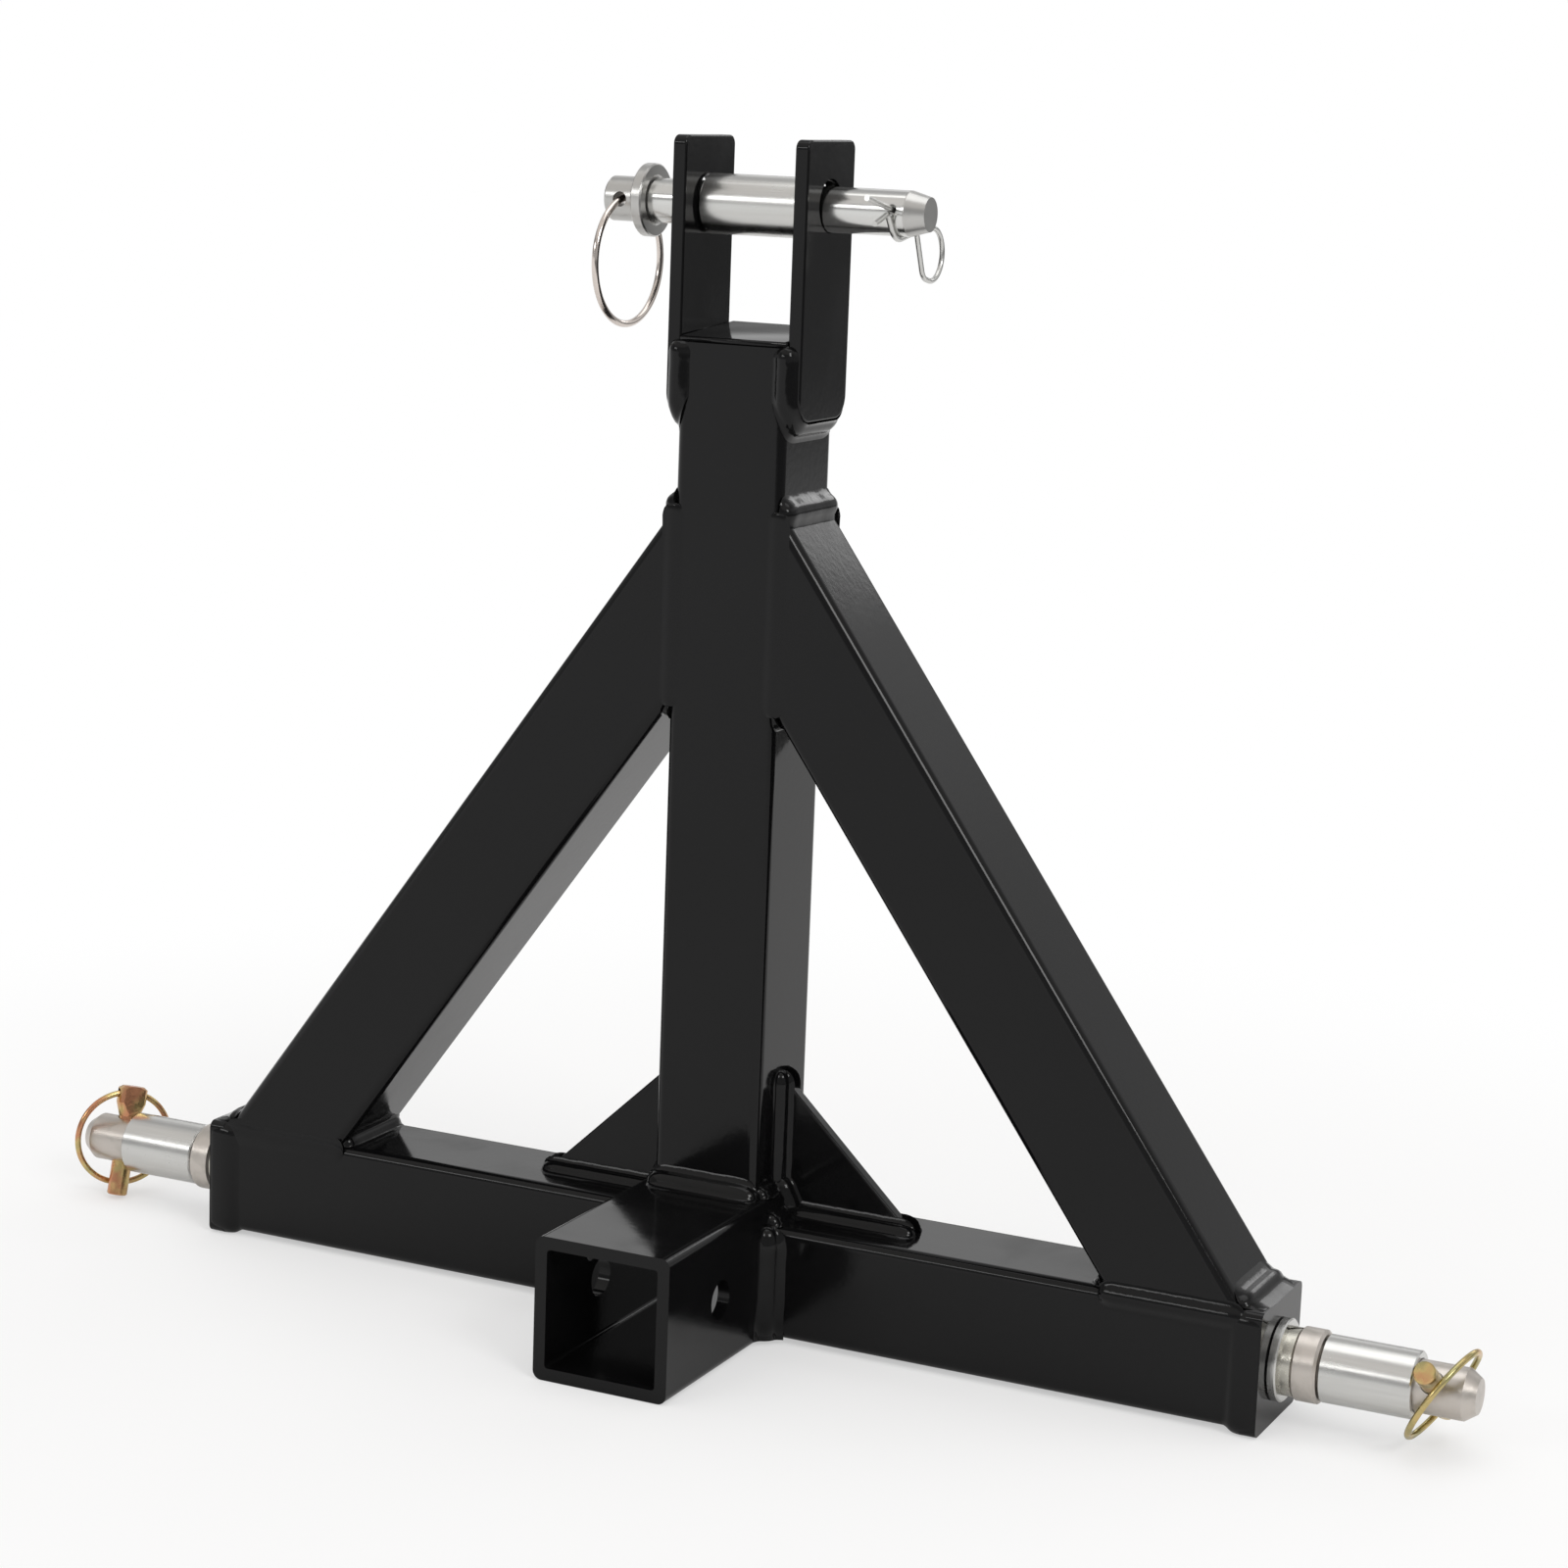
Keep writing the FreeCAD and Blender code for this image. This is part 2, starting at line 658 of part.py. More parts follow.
def build_pull_ring():
    ring = build_ring("pull_ring", "pull_ring_diameter", "pull_ring_wire")
    # half of the rise of the ring's arc within the pin, so that it turns inside its hole
    rise = "(top_pin_diameter ^ 2 / pull_ring_diameter / 8)"
    drop = f"{UPPER_AXIS} + {rise} - pull_ring_diameter / 2"
    # the ring hangs a little askew in its loose hole
    askew = FreeCAD.Rotation(Z_AXIS, -number("pull_ring_yaw"))
    upright = FreeCAD.Rotation(Y_AXIS, 90)
    place(ring, x=PULL_PLACE, z=drop, rotation=askew.multiply(upright))


def rounded_route(points, radii):
    """A wire of straight runs joined by tangent arcs, one radius for each inner point."""
    edges = []
    start = points[0]
    for before, corner, after, radius in zip(points, points[1:], points[2:], radii):
        back = (before - corner).normalize()
        ahead = (after - corner).normalize()
        half_angle = back.getAngle(ahead) / 2
        reach = radius / math.tan(half_angle)
        first = corner + back * reach
        last = corner + ahead * reach
        middle_way = (back + ahead).normalize()
        middle = corner + middle_way * (radius / math.sin(half_angle) - radius)
        edges.append(Part.LineSegment(start, first).toShape())
        edges.append(Part.Arc(first, middle, last).toShape())
        start = last
    edges.append(Part.LineSegment(start, points[-1]).toShape())
    return Part.Wire(edges)


def tangent_corner(near, far, radius):
    """Where the lower tangents of a circle about the origin, drawn from two points, meet."""
    sides = []
    for spot, turn in ((near, -1), (far, 1)):
        distance = spot.Length
        angle = math.atan2(spot.y, spot.x) + turn * math.acos(radius / distance)
        sides.append(angle)
    middle = (sides[0] + sides[1]) / 2
    spread = (sides[0] - sides[1]) / 2
    reach = radius / math.cos(spread)
    return Vector(reach * math.cos(middle), reach * math.sin(middle), 0)


def build_clip():
    """A hairpin of one wire: a straight leg through the pin, an eye, and a leg bent round the pin."""
    wire = number("clip_wire")
    hug = number("top_pin_diameter / 2 + clip_wire / 2") + 0.05
    eye = number("clip_eye")
    length = number("clip_length")
    pinch = Vector(length - 1.36 * eye, -0.2 * eye, 0)
    waist = Vector(-hug - wire, -1.15 * wire, 0)
    points = [
        Vector(-number("clip_leg"), 0, 0),
        Vector(length, 0, 0),
        Vector(length, -eye, 0),
        Vector(length - 0.8 * eye, -eye, 0),
        pinch,
        tangent_corner(pinch, waist, hug),
        waist,
        Vector(-number("clip_leg") * 0.7, -3.8 * wire, 0),
    ]
    radii = [0.499 * eye, 0.499 * eye, 0.3 * eye, 1.1 * wire, hug, 1.1 * wire]
    route = rounded_route(points, radii)
    section = Part.Wire([Part.Circle(points[0], X_AXIS, wire / 2).toShape()])
    body = doc.addObject("Part::Feature", "hairpin_clip")
    body.Label = "hairpin_clip"
    body.Shape = route.makePipeShell([section], True, True)
    # the wire's own plane stands across the pin, its straight leg tilted
    upright = FreeCAD.Rotation(X_AXIS, -number("clip_tilt"))
    across = FreeCAD.Rotation(Y_AXIS, Z_AXIS, X_AXIS, "ZXY")
    place(body, x=CLIP_PLACE, z=UPPER_AXIS, rotation=upright.multiply(across))
    nodes.append(body)


# lower pins, built to the right of the end plate's face and turned into place

def lower_turn(spec):
    """Turns a right-hand piece for its side, then rolls it about the pin's axis."""
    about = FreeCAD.Rotation(Z_AXIS, 0 if spec["side"] > 0 else 180)
    return FreeCAD.Rotation(X_AXIS, spec["roll"]).multiply(about)


def lower_place(body, spec):
    x = PLATE_FACE if spec["side"] > 0 else f"-{PLATE_FACE}"
    place(body, x=x, z=LOWER_AXIS, rotation=lower_turn(spec))


def build_lower_pin(name, spec):
    tip = f"({SHOULDER} + low_pin_length)"
    body = turned(
        f"lower_pin_{name}",
        [
            ("-end_plate_thickness - nut_height - 2 * bevel", 0),
            ("-end_plate_thickness - nut_height - 2 * bevel", "low_pin_diameter / 2 - bevel"),
            ("-end_plate_thickness - nut_height - bevel", "low_pin_diameter / 2"),
            (COLLAR_INNER, "low_pin_diameter / 2"),
            (COLLAR_INNER, f"{LOW_COLLAR} / 2 - low_collar_bevel"),
            (f"{COLLAR_INNER} + low_collar_bevel", f"{LOW_COLLAR} / 2"),
            (f"{SHOULDER} - low_collar_bevel", f"{LOW_COLLAR} / 2"),
            (SHOULDER, f"{LOW_COLLAR} / 2 - low_collar_bevel"),
            (SHOULDER, "low_pin_diameter / 2"),
            (f"{tip} - low_nose_length", "low_pin_diameter / 2"),
            (tip, "low_nose_diameter / 2"),
            (tip, 0),
        ],
    )
    spot = f"{SHOULDER} + lynch_station"
    hole = circle(body, "lynch_hole", "XY_Plane", spot, 0, "lynch_shank + 2 * running_gap")
    cut_through(body, hole)
    lower_place(body, spec)


def build_flat_washer(name, spec):
    outer = f"({STUD_BORE} + 2 * washer_width)"
    body = sleeve(f"flat_washer_{name}", "washer_thickness", outer, STUD_BORE)
    lower_place(body, spec)


def build_lock_washer(name, spec):
    """A spring washer with one slanted slit."""
    body = turned(
        f"lock_washer_{name}",
        [
            ("washer_thickness", f"{STUD_BORE} / 2"),
            ("washer_thickness", f"{STUD_BORE} / 2 + lock_width"),
            (COLLAR_INNER, f"{STUD_BORE} / 2 + lock_width"),
            (COLLAR_INNER, f"{STUD_BORE} / 2"),
        ],
    )
    lean = "lock_thickness / 2"
    start = "washer_thickness"
    slit = [
        (f"{start} - bevel", f"-lock_slit / 2 - {lean}"),
        (f"{start} - bevel", f"lock_slit / 2 - {lean}"),
        (f"{COLLAR_INNER} + bevel", f"lock_slit / 2 + {lean}"),
        (f"{COLLAR_INNER} + bevel", f"-lock_slit / 2 + {lean}"),
    ]
    before = body.Shape.Volume
    sketch = polygon(body, "slit", "XY_Plane", slit)
    cut = body.newObject("PartDesign::Pocket", f"{sketch.Name}_cut")
    cut.Profile = (sketch, [""])
    cut.Type = "ThroughAll"
    cut.Reversed = True
    doc.recompute()
    assert body.Shape.Volume < before
    x = PLATE_FACE if spec["side"] > 0 else f"-{PLATE_FACE}"
    about = FreeCAD.Rotation(Z_AXIS, 0 if spec["side"] > 0 else 180)
    place(body, x=x, z=LOWER_AXIS, rotation=about)


def build_nut(name, spec):
    """A hexagon nut inside the tube, behind the end plate."""
    body = new_body(f"stud_nut_{name}")
    corner = "nut_flats / sqrt(3)"
    hexagon = []
    for i in range(6):
        turn = 60 * i
        hexagon.append((f"{corner} * cos({turn})", f"{corner} * sin({turn})"))
    pad(body, polygon(body, "hexagon", "XY_Plane", hexagon), "nut_height")
    cut_through(body, circle(body, "thread_bore", "XY_Plane", 0, 0, "low_pin_diameter"))
    x = "bar_reach - nut_height" if spec["side"] > 0 else "-bar_reach"
    place(body, x=x, z=LOWER_AXIS, rotation=FreeCAD.Rotation(Y_AXIS, 90))


def build_lower_sleeve(name, spec):
    outer = f"({LOW_SLEEVE_BORE} + 2 * low_sleeve_wall)"
    body = sleeve(f"lower_sleeve_{name}", "low_sleeve_length", outer, LOW_SLEEVE_BORE)
    near = f"({PLATE_FACE} + {SHOULDER} + low_sleeve_play)"
    x = near if spec["side"] > 0 else f"-{near} - low_sleeve_length"
    place(body, x=x, z=LOWER_AXIS)


def lynch_rotation(spec):
    """Turns local Z along the lynch pin, head up, and local X along the ring's hinge."""
    roll = FreeCAD.Rotation(X_AXIS, spec["roll"])
    return roll.multiply(FreeCAD.Rotation(Z_AXIS, spec["spin"]))


def lynch_x(spec):
    return f"{spec['side']} * ({PLATE_FACE} + {SHOULDER} + lynch_station)"


def build_lynch_pin(name, spec):
    """A shank with a flattened head that the ring hinges in, turned about its own long axis."""
    tip = "(-low_pin_diameter / 2 - lynch_tip)"
    neck = "(low_pin_diameter / 2 + running_gap)"
    body = turned(
        f"lynch_pin_{name}",
        [
            (tip, 0),
            (tip, "lynch_shank / 2 - bevel"),
            (f"{tip} + bevel", "lynch_shank / 2"),
            (neck, "lynch_shank / 2"),
            (f"{LYNCH_HINGE} - lynch_eye", "lynch_head_width / 2"),
            (f"{LYNCH_HINGE} + lynch_head_height - 2 * bevel", "lynch_head_width / 2"),
            (f"{LYNCH_HINGE} + lynch_head_height", "lynch_head_width / 2 - 3 * bevel"),
            (f"{LYNCH_HINGE} + lynch_head_height", 0),
        ],
    )
    far = f"{LYNCH_HINGE} + 2 * lynch_head_height"
    for side in (1, -1):
        inner = f"{side} * lynch_head_depth / 2"
        outer = f"{side} * lynch_head_width"
        flat = rectangle(body, f"flat{side + 2}", "XY_Plane", neck, far, inner, outer)
        cut_through(body, flat)
    cut_through(body, circle(body, "ring_hole", "XY_Plane", LYNCH_HINGE, 0, "lynch_eye"))
    # local X of the turned piece runs up the pin, and its ring hole runs along local Z
    stand = FreeCAD.Rotation(Z_AXIS, Y_AXIS, X_AXIS, "XZY")
    place(body, x=lynch_x(spec), z=LOWER_AXIS, rotation=lynch_rotation(spec).multiply(stand))


def build_lynch_ring(name, spec):
    ring = build_ring(f"lynch_ring_{name}", "lynch_ring_diameter", "lynch_ring_wire")
    rise = "(lynch_head_width ^ 2 / lynch_ring_diameter / 8)"
    drop = number(f"{rise} - lynch_ring_diameter / 2")
    swing = FreeCAD.Rotation(X_AXIS, spec["swing"])
    pose = lynch_rotation(spec)
    hinge = pose.multVec(Vector(0, 0, number(LYNCH_HINGE)))
    centre = hinge + pose.multVec(swing.multVec(Vector(0, 0, drop)))
    centre = centre + point(lynch_x(spec), 0, LOWER_AXIS)
    flat = FreeCAD.Rotation(X_AXIS, 90)
    ring.Placement = FreeCAD.Placement(centre, pose.multiply(swing).multiply(flat))


def build_frame():
    build_receiver()
    build_mast()
    build_cap()
    sides = (("left", -1), ("right", 1))
    for build in (build_crossbar, build_end_plate, build_brace, build_ear, build_gusset):
        for name, side in sides:
            build(name, side)
    for weld in (weld_end_plate, weld_brace_foot, weld_brace_head, weld_ear):
        for name, side in sides:
            weld(name, side)
    for weld in (weld_receiver, weld_gusset):
        for name, side in sides:
            weld(name, side, "front", -1)
            weld(name, side, "rear", 1)
    weld_mast_foot("front", -1)
    weld_mast_foot("rear", 1)


def build_top_set():
    build_top_pin()
    build_top_collar()
    build_top_sleeve()
    build_pull_ring()
    build_clip()


def build_lower_set(name, spec):
    build_lower_pin(name, spec)
    build_flat_washer(name, spec)
    build_lock_washer(name, spec)
    build_nut(name, spec)
    build_lower_sleeve(name, spec)
    build_lynch_pin(name, spec)
    build_lynch_ring(name, spec)


def check_and_export():
    doc.recompute()
    for item in doc.Objects:
        assert not {"Invalid", "Error"} & set(item.State), item.Name
    os.makedirs("parts", exist_ok=True)
    for node in nodes:
        assert not node.Shape.isNull() and node.Shape.isValid(), node.Label
        node.Shape.exportStep(f"parts/{node.Label}.step")
        box = node.Shape.BoundBox
        print(f"{node.Label}: {len(node.Shape.Solids)} solid, {node.Shape.Volume:.0f} mm3,"
              f" x {box.XMin:.1f} {box.XMax:.1f} y {box.YMin:.1f} {box.YMax:.1f}"
              f" z {box.ZMin:.1f} {box.ZMax:.1f}")


build_frame()
build_top_set()
for side_name, side_spec in LOWER_SIDES.items():
    build_lower_set(side_name, side_spec)
check_and_export()
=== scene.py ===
import json
import math

import bmesh
import bpy
from mathutils import Matrix, Vector


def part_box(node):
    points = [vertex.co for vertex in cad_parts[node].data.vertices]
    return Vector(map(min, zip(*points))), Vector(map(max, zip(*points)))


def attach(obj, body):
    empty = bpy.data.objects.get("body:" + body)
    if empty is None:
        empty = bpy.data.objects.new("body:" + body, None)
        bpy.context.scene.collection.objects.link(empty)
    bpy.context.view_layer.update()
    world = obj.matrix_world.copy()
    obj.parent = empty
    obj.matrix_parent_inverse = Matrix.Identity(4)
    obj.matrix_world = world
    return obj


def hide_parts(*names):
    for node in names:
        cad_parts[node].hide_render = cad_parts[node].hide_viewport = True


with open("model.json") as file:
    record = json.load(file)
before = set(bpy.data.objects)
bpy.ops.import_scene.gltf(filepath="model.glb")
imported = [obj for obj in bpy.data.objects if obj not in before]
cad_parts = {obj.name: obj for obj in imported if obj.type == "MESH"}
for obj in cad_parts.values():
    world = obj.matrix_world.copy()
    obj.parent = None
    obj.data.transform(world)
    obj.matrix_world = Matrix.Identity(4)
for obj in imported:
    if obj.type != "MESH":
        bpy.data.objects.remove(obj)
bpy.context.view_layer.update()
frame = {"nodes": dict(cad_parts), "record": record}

# The three point receiver hitch: a black powder coated frame of square tube with plated pins.
# All places are in metres, X to the right along the crossbar, Y to the rear, Z up.

# half the side of the square tubes and of the receiver, and the places where pieces meet
HALF = 0.025
RECEIVER_HALF = 0.0315
RECEIVER_TOP = 0.063
BAR_TOP = 0.052
BAR_BOTTOM = 0.002
LOWER_AXIS = 0.027
MAST_TOP = 0.43
PLATE_SIDE = 0.249
PLATE_BEND = 0.0045
GUSSET_FACE = 0.003
GUSSET_TOE = 0.09
GUSSET_TOP = 0.114
EAR_FOOT = 0.3975
EAR_EDGE = 0.023
EAR_BEND = 0.01
BRACE_FOOT = 0.248
BRACE_HEAD = 0.361
MOUTH = -0.117
SOCKET_TOP = 0.0575

# the mast's sloping cap: its side, and how far its front and rear edges stand above the mast
CAP_SIDE = 0.049
CAP_FRONT = 0.0026
CAP_REAR = 0.0066

# the middle of the knocks on the left ear, and the distances from it where they are whole and gone
KNOCK_PLACE = (-0.02, 0.004, 0.446)
KNOCK_WHOLE = 0.006
KNOCK_GONE = 0.016

# the top pin's turned nose, and how far the lathe's rings take to fade out
NOSE_LENGTH = 0.0084
RING_FADE = 0.0006

# the way up a brace from its foot, its run inward and its rise for each metre of length
BRACE_REACH = math.hypot(BRACE_FOOT - HALF, BRACE_HEAD - BAR_TOP)
BRACE_IN = (BRACE_FOOT - HALF) / BRACE_REACH
BRACE_UP = (BRACE_HEAD - BAR_TOP) / BRACE_REACH

# a weld bead's toe is sunk this far in the face that it runs out on, and its root much deeper
SUNK = -0.00005
ROOT = -0.0015

# steps from one toe of a bead to the other, and about how far apart its stations lie
SKIN_STEPS = 14
STATION_GAP = 0.003

# a bead's round end: shares of its leg, and its size there
ROUND_END = ((0.0, 0.1), (0.06, 0.4), (0.2, 0.68), (0.45, 0.88), (0.8, 0.98))

# the share that a bead swells with the welder's hand, and the metres along it for each radian
# of the hand's fast and slow waves
HAND_SWELL = 0.018
HAND_FAST = 0.0023
HAND_SLOW = 0.011

# the place that the photograph was taken from, its turn, tilt and roll in degrees, and its lens
CAMERA_PLACE = (0.6707, -1.3826, 0.5399)
CAMERA_TURN = 25.242
CAMERA_DOWN = 10.993
CAMERA_ROLL = -2.148
CAMERA_LENS = 83.06
CAMERA_SHIFT = (0.0013, -0.0017)

# the black powder coat, at its deepest and its palest
PAINT_DEEP = (0.0028, 0.0028, 0.003)
PAINT_PALE = (0.005, 0.005, 0.0053)
PAINT_IOR = 1.31

# what the lamps are aimed at
LAMP_AIM = (0, 0, 0.2)

# the sockets of a Mix node for its share, its two colours and the colour that comes out
MIX_SHARE = 0
MIX_FIRST = 6
MIX_SECOND = 7
MIX_RESULT = 2

# how far apart the columns and rows of nodes lie in the editor
COLUMN_STEP = 220
ROW_STEP = -200

# the axes of the frame
X = Vector((1, 0, 0))
Y = Vector((0, 1, 0))
Z = Vector((0, 0, 1))


# camera

def add_camera():
    turn = math.radians(CAMERA_TURN)
    down = math.radians(CAMERA_DOWN)
    roll = math.radians(CAMERA_ROLL)
    level = math.cos(down)
    ahead = Vector((-math.sin(turn) * level, math.cos(turn) * level, -math.sin(down)))
    level_right = Vector((math.cos(turn), math.sin(turn), 0))
    level_up = level_right.cross(ahead)
    right = level_right * math.cos(roll) - level_up * math.sin(roll)
    up = level_right * math.sin(roll) + level_up * math.cos(roll)
    data = bpy.data.cameras.new("camera")
    camera = bpy.data.objects.new("camera", data)
    bpy.context.scene.collection.objects.link(camera)
    axes = Matrix((right, up, -ahead)).transposed().to_4x4()
    camera.matrix_world = Matrix.Translation(CAMERA_PLACE) @ axes
    data.sensor_width = 36
    data.lens = CAMERA_LENS
    data.shift_x, data.shift_y = CAMERA_SHIFT
    data.clip_end = 200
    bpy.context.scene.camera = camera


# node trees

def new_node(tree, kind, column, row, **settings):
    """A node at a place in the tree's layout, with its settings."""
    node = tree.nodes.new(kind)
    node.location = (column * COLUMN_STEP, row * ROW_STEP)
    for name, value in settings.items():
        setattr(node, name, value)
    return node


def set_inputs(node, **values):
    """Sets a node's sockets, each by its name with _ for a space."""
    for label, value in values.items():
        node.inputs[label.replace("_", " ")].default_value = value
    return node


def new_group(name, inputs, outputs):
    """A node group with named float inputs, each with its usual value, and named float outputs."""
    tree = bpy.data.node_groups.new(name, "ShaderNodeTree")
    for label, value in inputs:
        socket = tree.interface.new_socket(label, in_out="INPUT", socket_type="NodeSocketFloat")
        socket.default_value = value
    for label in outputs:
        tree.interface.new_socket(label, in_out="OUTPUT", socket_type="NodeSocketFloat")
    entry = new_node(tree, "NodeGroupInput", 0, 0)
    leave = new_node(tree, "NodeGroupOutput", 8, 0)
    return tree, entry, leave


def use_group(tree, group, column, row, **values):
    """A node group at work in a tree, with the values that differ from its usual ones."""
    return set_inputs(new_node(tree, "ShaderNodeGroup", column, row, node_tree=group), **values)


def object_place(tree, column, row):
    return new_node(tree, "ShaderNodeTexCoord", column, row).outputs["Object"]


def axes_of(tree, column, row, place):
    """The X, Y and Z of a place."""
    parts = new_node(tree, "ShaderNodeSeparateXYZ", column, row)
    tree.links.new(place, parts.inputs[0])
    return parts.outputs


def scaled_place(tree, column, row, size):
    """Object coordinates divided by a size, so that a pattern has one feature in each size."""
    share = new_node(tree, "ShaderNodeVectorMath", column + 1, row, operation="DIVIDE")
    tree.links.new(object_place(tree, column, row), share.inputs[0])
    tree.links.new(size, share.inputs[1])
    return share.outputs[0]


def stretched(tree, column, row, place, factors):
    """A place with each axis multiplied by a factor of its own."""
    product = new_node(tree, "ShaderNodeVectorMath", column, row, operation="MULTIPLY")
    product.inputs[1].default_value = factors
    tree.links.new(place, product.inputs[0])
    return product.outputs[0]


def noise_at(tree, column, row, place, scale=1.0, **values):
    """Soft noise, with one feature in each unit of the place unless a scale is given."""
    noise = new_node(tree, "ShaderNodeTexNoise", column, row)
    set_inputs(noise, Scale=scale, **values)
    tree.links.new(place, noise.inputs["Vector"])
    return noise.outputs["Fac"]


def smooth_step(tree, column, row, value, start, end, low=0.0, high=1.0):
    """Goes smoothly from low to high while a value goes from start to end."""
    span = new_node(tree, "ShaderNodeMapRange", column, row, interpolation_type="SMOOTHSTEP")
    set_inputs(span, From_Min=start, From_Max=end, To_Min=low, To_Max=high)
    tree.links.new(value, span.inputs["Value"])
    return span.outputs["Result"]


def range_of(tree, column, row, mask, low, high):
    """A value that goes from low to high with a mask."""
    span = new_node(tree, "ShaderNodeMapRange", column, row)
    set_inputs(span, To_Min=low, To_Max=high)
    tree.links.new(mask, span.inputs["Value"])
    return span.outputs["Result"]


def shade_between(tree, column, row, mask, first, second):
    """A colour that goes from the first to the second with a mask."""
    mix = new_node(tree, "ShaderNodeMix", column, row, data_type="RGBA")
    mix.inputs[MIX_FIRST].default_value = (*first, 1.0)
    mix.inputs[MIX_SECOND].default_value = (*second, 1.0)
    tree.links.new(mask, mix.inputs[MIX_SHARE])
    return mix.outputs[MIX_RESULT]


def combined(tree, column, row, operation, first, second):
    """What a Math node makes of two values."""
    node = new_node(tree, "ShaderNodeMath", column, row, operation=operation)
    tree.links.new(first, node.inputs[0])
    tree.links.new(second, node.inputs[1])
    return node.outputs[0]


def sum_of(tree, column, row, first, second, share):
    """The first value plus a share of the second."""
    total = new_node(tree, "ShaderNodeMath", column, row, operation="MULTIPLY_ADD")
    total.inputs[1].default_value = share
    tree.links.new(second, total.inputs[0])
    tree.links.new(first, total.inputs[2])
    return total.outputs[0]


# effects that several finishes share, as node groups

def build_orange_peel():
    """The soft dimples of a thick powder coat, and the slow change of its shade."""
    tree, entry, leave = new_group(
        "orange_peel", [("Dimple size", 0.002), ("Cloud size", 0.06)], ["Height", "Cloud"]
    )
    near = scaled_place(tree, 1, 0, entry.outputs["Dimple size"])
    dimples = noise_at(tree, 4, 0, near, Detail=1.5, Roughness=0.4)
    tree.links.new(dimples, leave.inputs["Height"])
    far = scaled_place(tree, 1, 2, entry.outputs["Cloud size"])
    tree.links.new(noise_at(tree, 4, 2, far, Detail=4.0), leave.inputs["Cloud"])
    return tree


def build_smudges():
    """Smudges left by handling, as a mask."""
    tree, entry, leave = new_group("handling_marks", [("Smudge size", 0.03)], ["Smudge"])
    wide = scaled_place(tree, 1, 0, entry.outputs["Smudge size"])
    smudge = noise_at(tree, 4, 0, wide, Detail=5.0, Distortion=0.6)
    tree.links.new(smooth_step(tree, 5, 0, smudge, 0.45, 0.72), leave.inputs["Smudge"])
    return tree


def build_drawn_streaks():
    """Faint lines along X on drawn tube and turned bar, and rings left round X by a lathe tool."""
    tree, entry, leave = new_group(
        "drawn_streaks", [("Streak width", 0.0012), ("Ring pitch", 0.0004)], ["Streak", "Ring"]
    )
    along = scaled_place(tree, 1, 0, entry.outputs["Streak width"])
    drawn = stretched(tree, 3, 0, along, (0.03, 1.0, 1.0))
    tree.links.new(noise_at(tree, 4, 0, drawn, Detail=3.0), leave.inputs["Streak"])
    across = scaled_place(tree, 1, 2, entry.outputs["Ring pitch"])
    turned = stretched(tree, 3, 2, across, (1.0, 0.01, 0.01))
    tree.links.new(noise_at(tree, 4, 2, turned, Detail=2.0), leave.inputs["Ring"])
    return tree


# finishes

def new_finish(name):
    """A material with its shader node, ready for the nodes that feed it."""
    material = bpy.data.materials.new(name)
    material.use_nodes = True
    tree = material.node_tree
    shader = tree.nodes["Principled BSDF"]
    shader.location = (9 * COLUMN_STEP, 0)
    tree.nodes["Material Output"].location = (11 * COLUMN_STEP, 0)
    return material, tree, shader


def dress_in_metal(tree, shader, colour, gloss):
    """Gives the shader the colour and roughness of a bare or plated metal."""
    tree.links.new(colour, shader.inputs["Base Color"])
    tree.links.new(gloss, shader.inputs["Roughness"])
    shader.inputs["Metallic"].default_value = 1.0


def dress_in_paint(tree, shader, peel, smudges):
    """Gives the shader the powder coat's black, with slow clouds, duller where it was handled."""
    colour = shade_between(tree, 3, 0, peel.outputs["Cloud"], PAINT_DEEP, PAINT_PALE)
    gloss = range_of(tree, 3, 1, smudges.outputs["Smudge"], 0.1, 0.17)
    tree.links.new(colour, shader.inputs["Base Color"])
    tree.links.new(gloss, shader.inputs["Roughness"])
    shader.inputs["IOR"].default_value = PAINT_IOR


def add_bump(tree, shader, height, depth, strength):
    """Bends the shader's normals by a height that is depth metres from 0 to 1."""
    bump = set_inputs(new_node(tree, "ShaderNodeBump", 6, 3), Distance=depth, Strength=strength)
    tree.links.new(height, bump.inputs["Height"])
    tree.links.new(bump.outputs["Normal"], shader.inputs["Normal"])


def build_black_paint(groups):
    material, tree, shader = new_finish("black_paint")
    peel = use_group(tree, groups["peel"], 0, 0, Dimple_size=0.0028, Cloud_size=0.07)
    smudges = use_group(tree, groups["smudges"], 0, 2, Smudge_size=0.04)
    dress_in_paint(tree, shader, peel, smudges)
    # rough patches where the left ear was knocked, low on its inner face
    patch = new_node(tree, "ShaderNodeVectorMath", 1, 5, operation="DISTANCE")
    patch.inputs[1].default_value = KNOCK_PLACE
    tree.links.new(object_place(tree, 0, 5), patch.inputs[0])
    edge = smooth_step(tree, 2, 5, patch.outputs["Value"], KNOCK_GONE, KNOCK_WHOLE)
    knocks = use_group(tree, groups["peel"], 2, 6, Cloud_size=0.002)
    scuff = combined(tree, 4, 5, "MULTIPLY", edge, knocks.outputs["Cloud"])
    height = sum_of(tree, 5, 3, peel.outputs["Height"], scuff, 5.0)
    add_bump(tree, shader, height, 0.0002, 0.1)
    return material


def build_weld_paint(groups):
    """The same coat over a bead: it flows in the toes and keeps the ripples of the weld."""
    material, tree, shader = new_finish("weld_paint")
    peel = use_group(tree, groups["peel"], 0, 0, Dimple_size=0.0022, Cloud_size=0.05)
    ripples = use_group(tree, groups["peel"], 0, 2, Dimple_size=0.0065)
    smudges = use_group(tree, groups["smudges"], 0, 4, Smudge_size=0.03)
    dress_in_paint(tree, shader, peel, smudges)
    height = sum_of(tree, 4, 3, peel.outputs["Height"], ripples.outputs["Height"], 1.4)
    add_bump(tree, shader, height, 0.0003, 0.13)
    return material


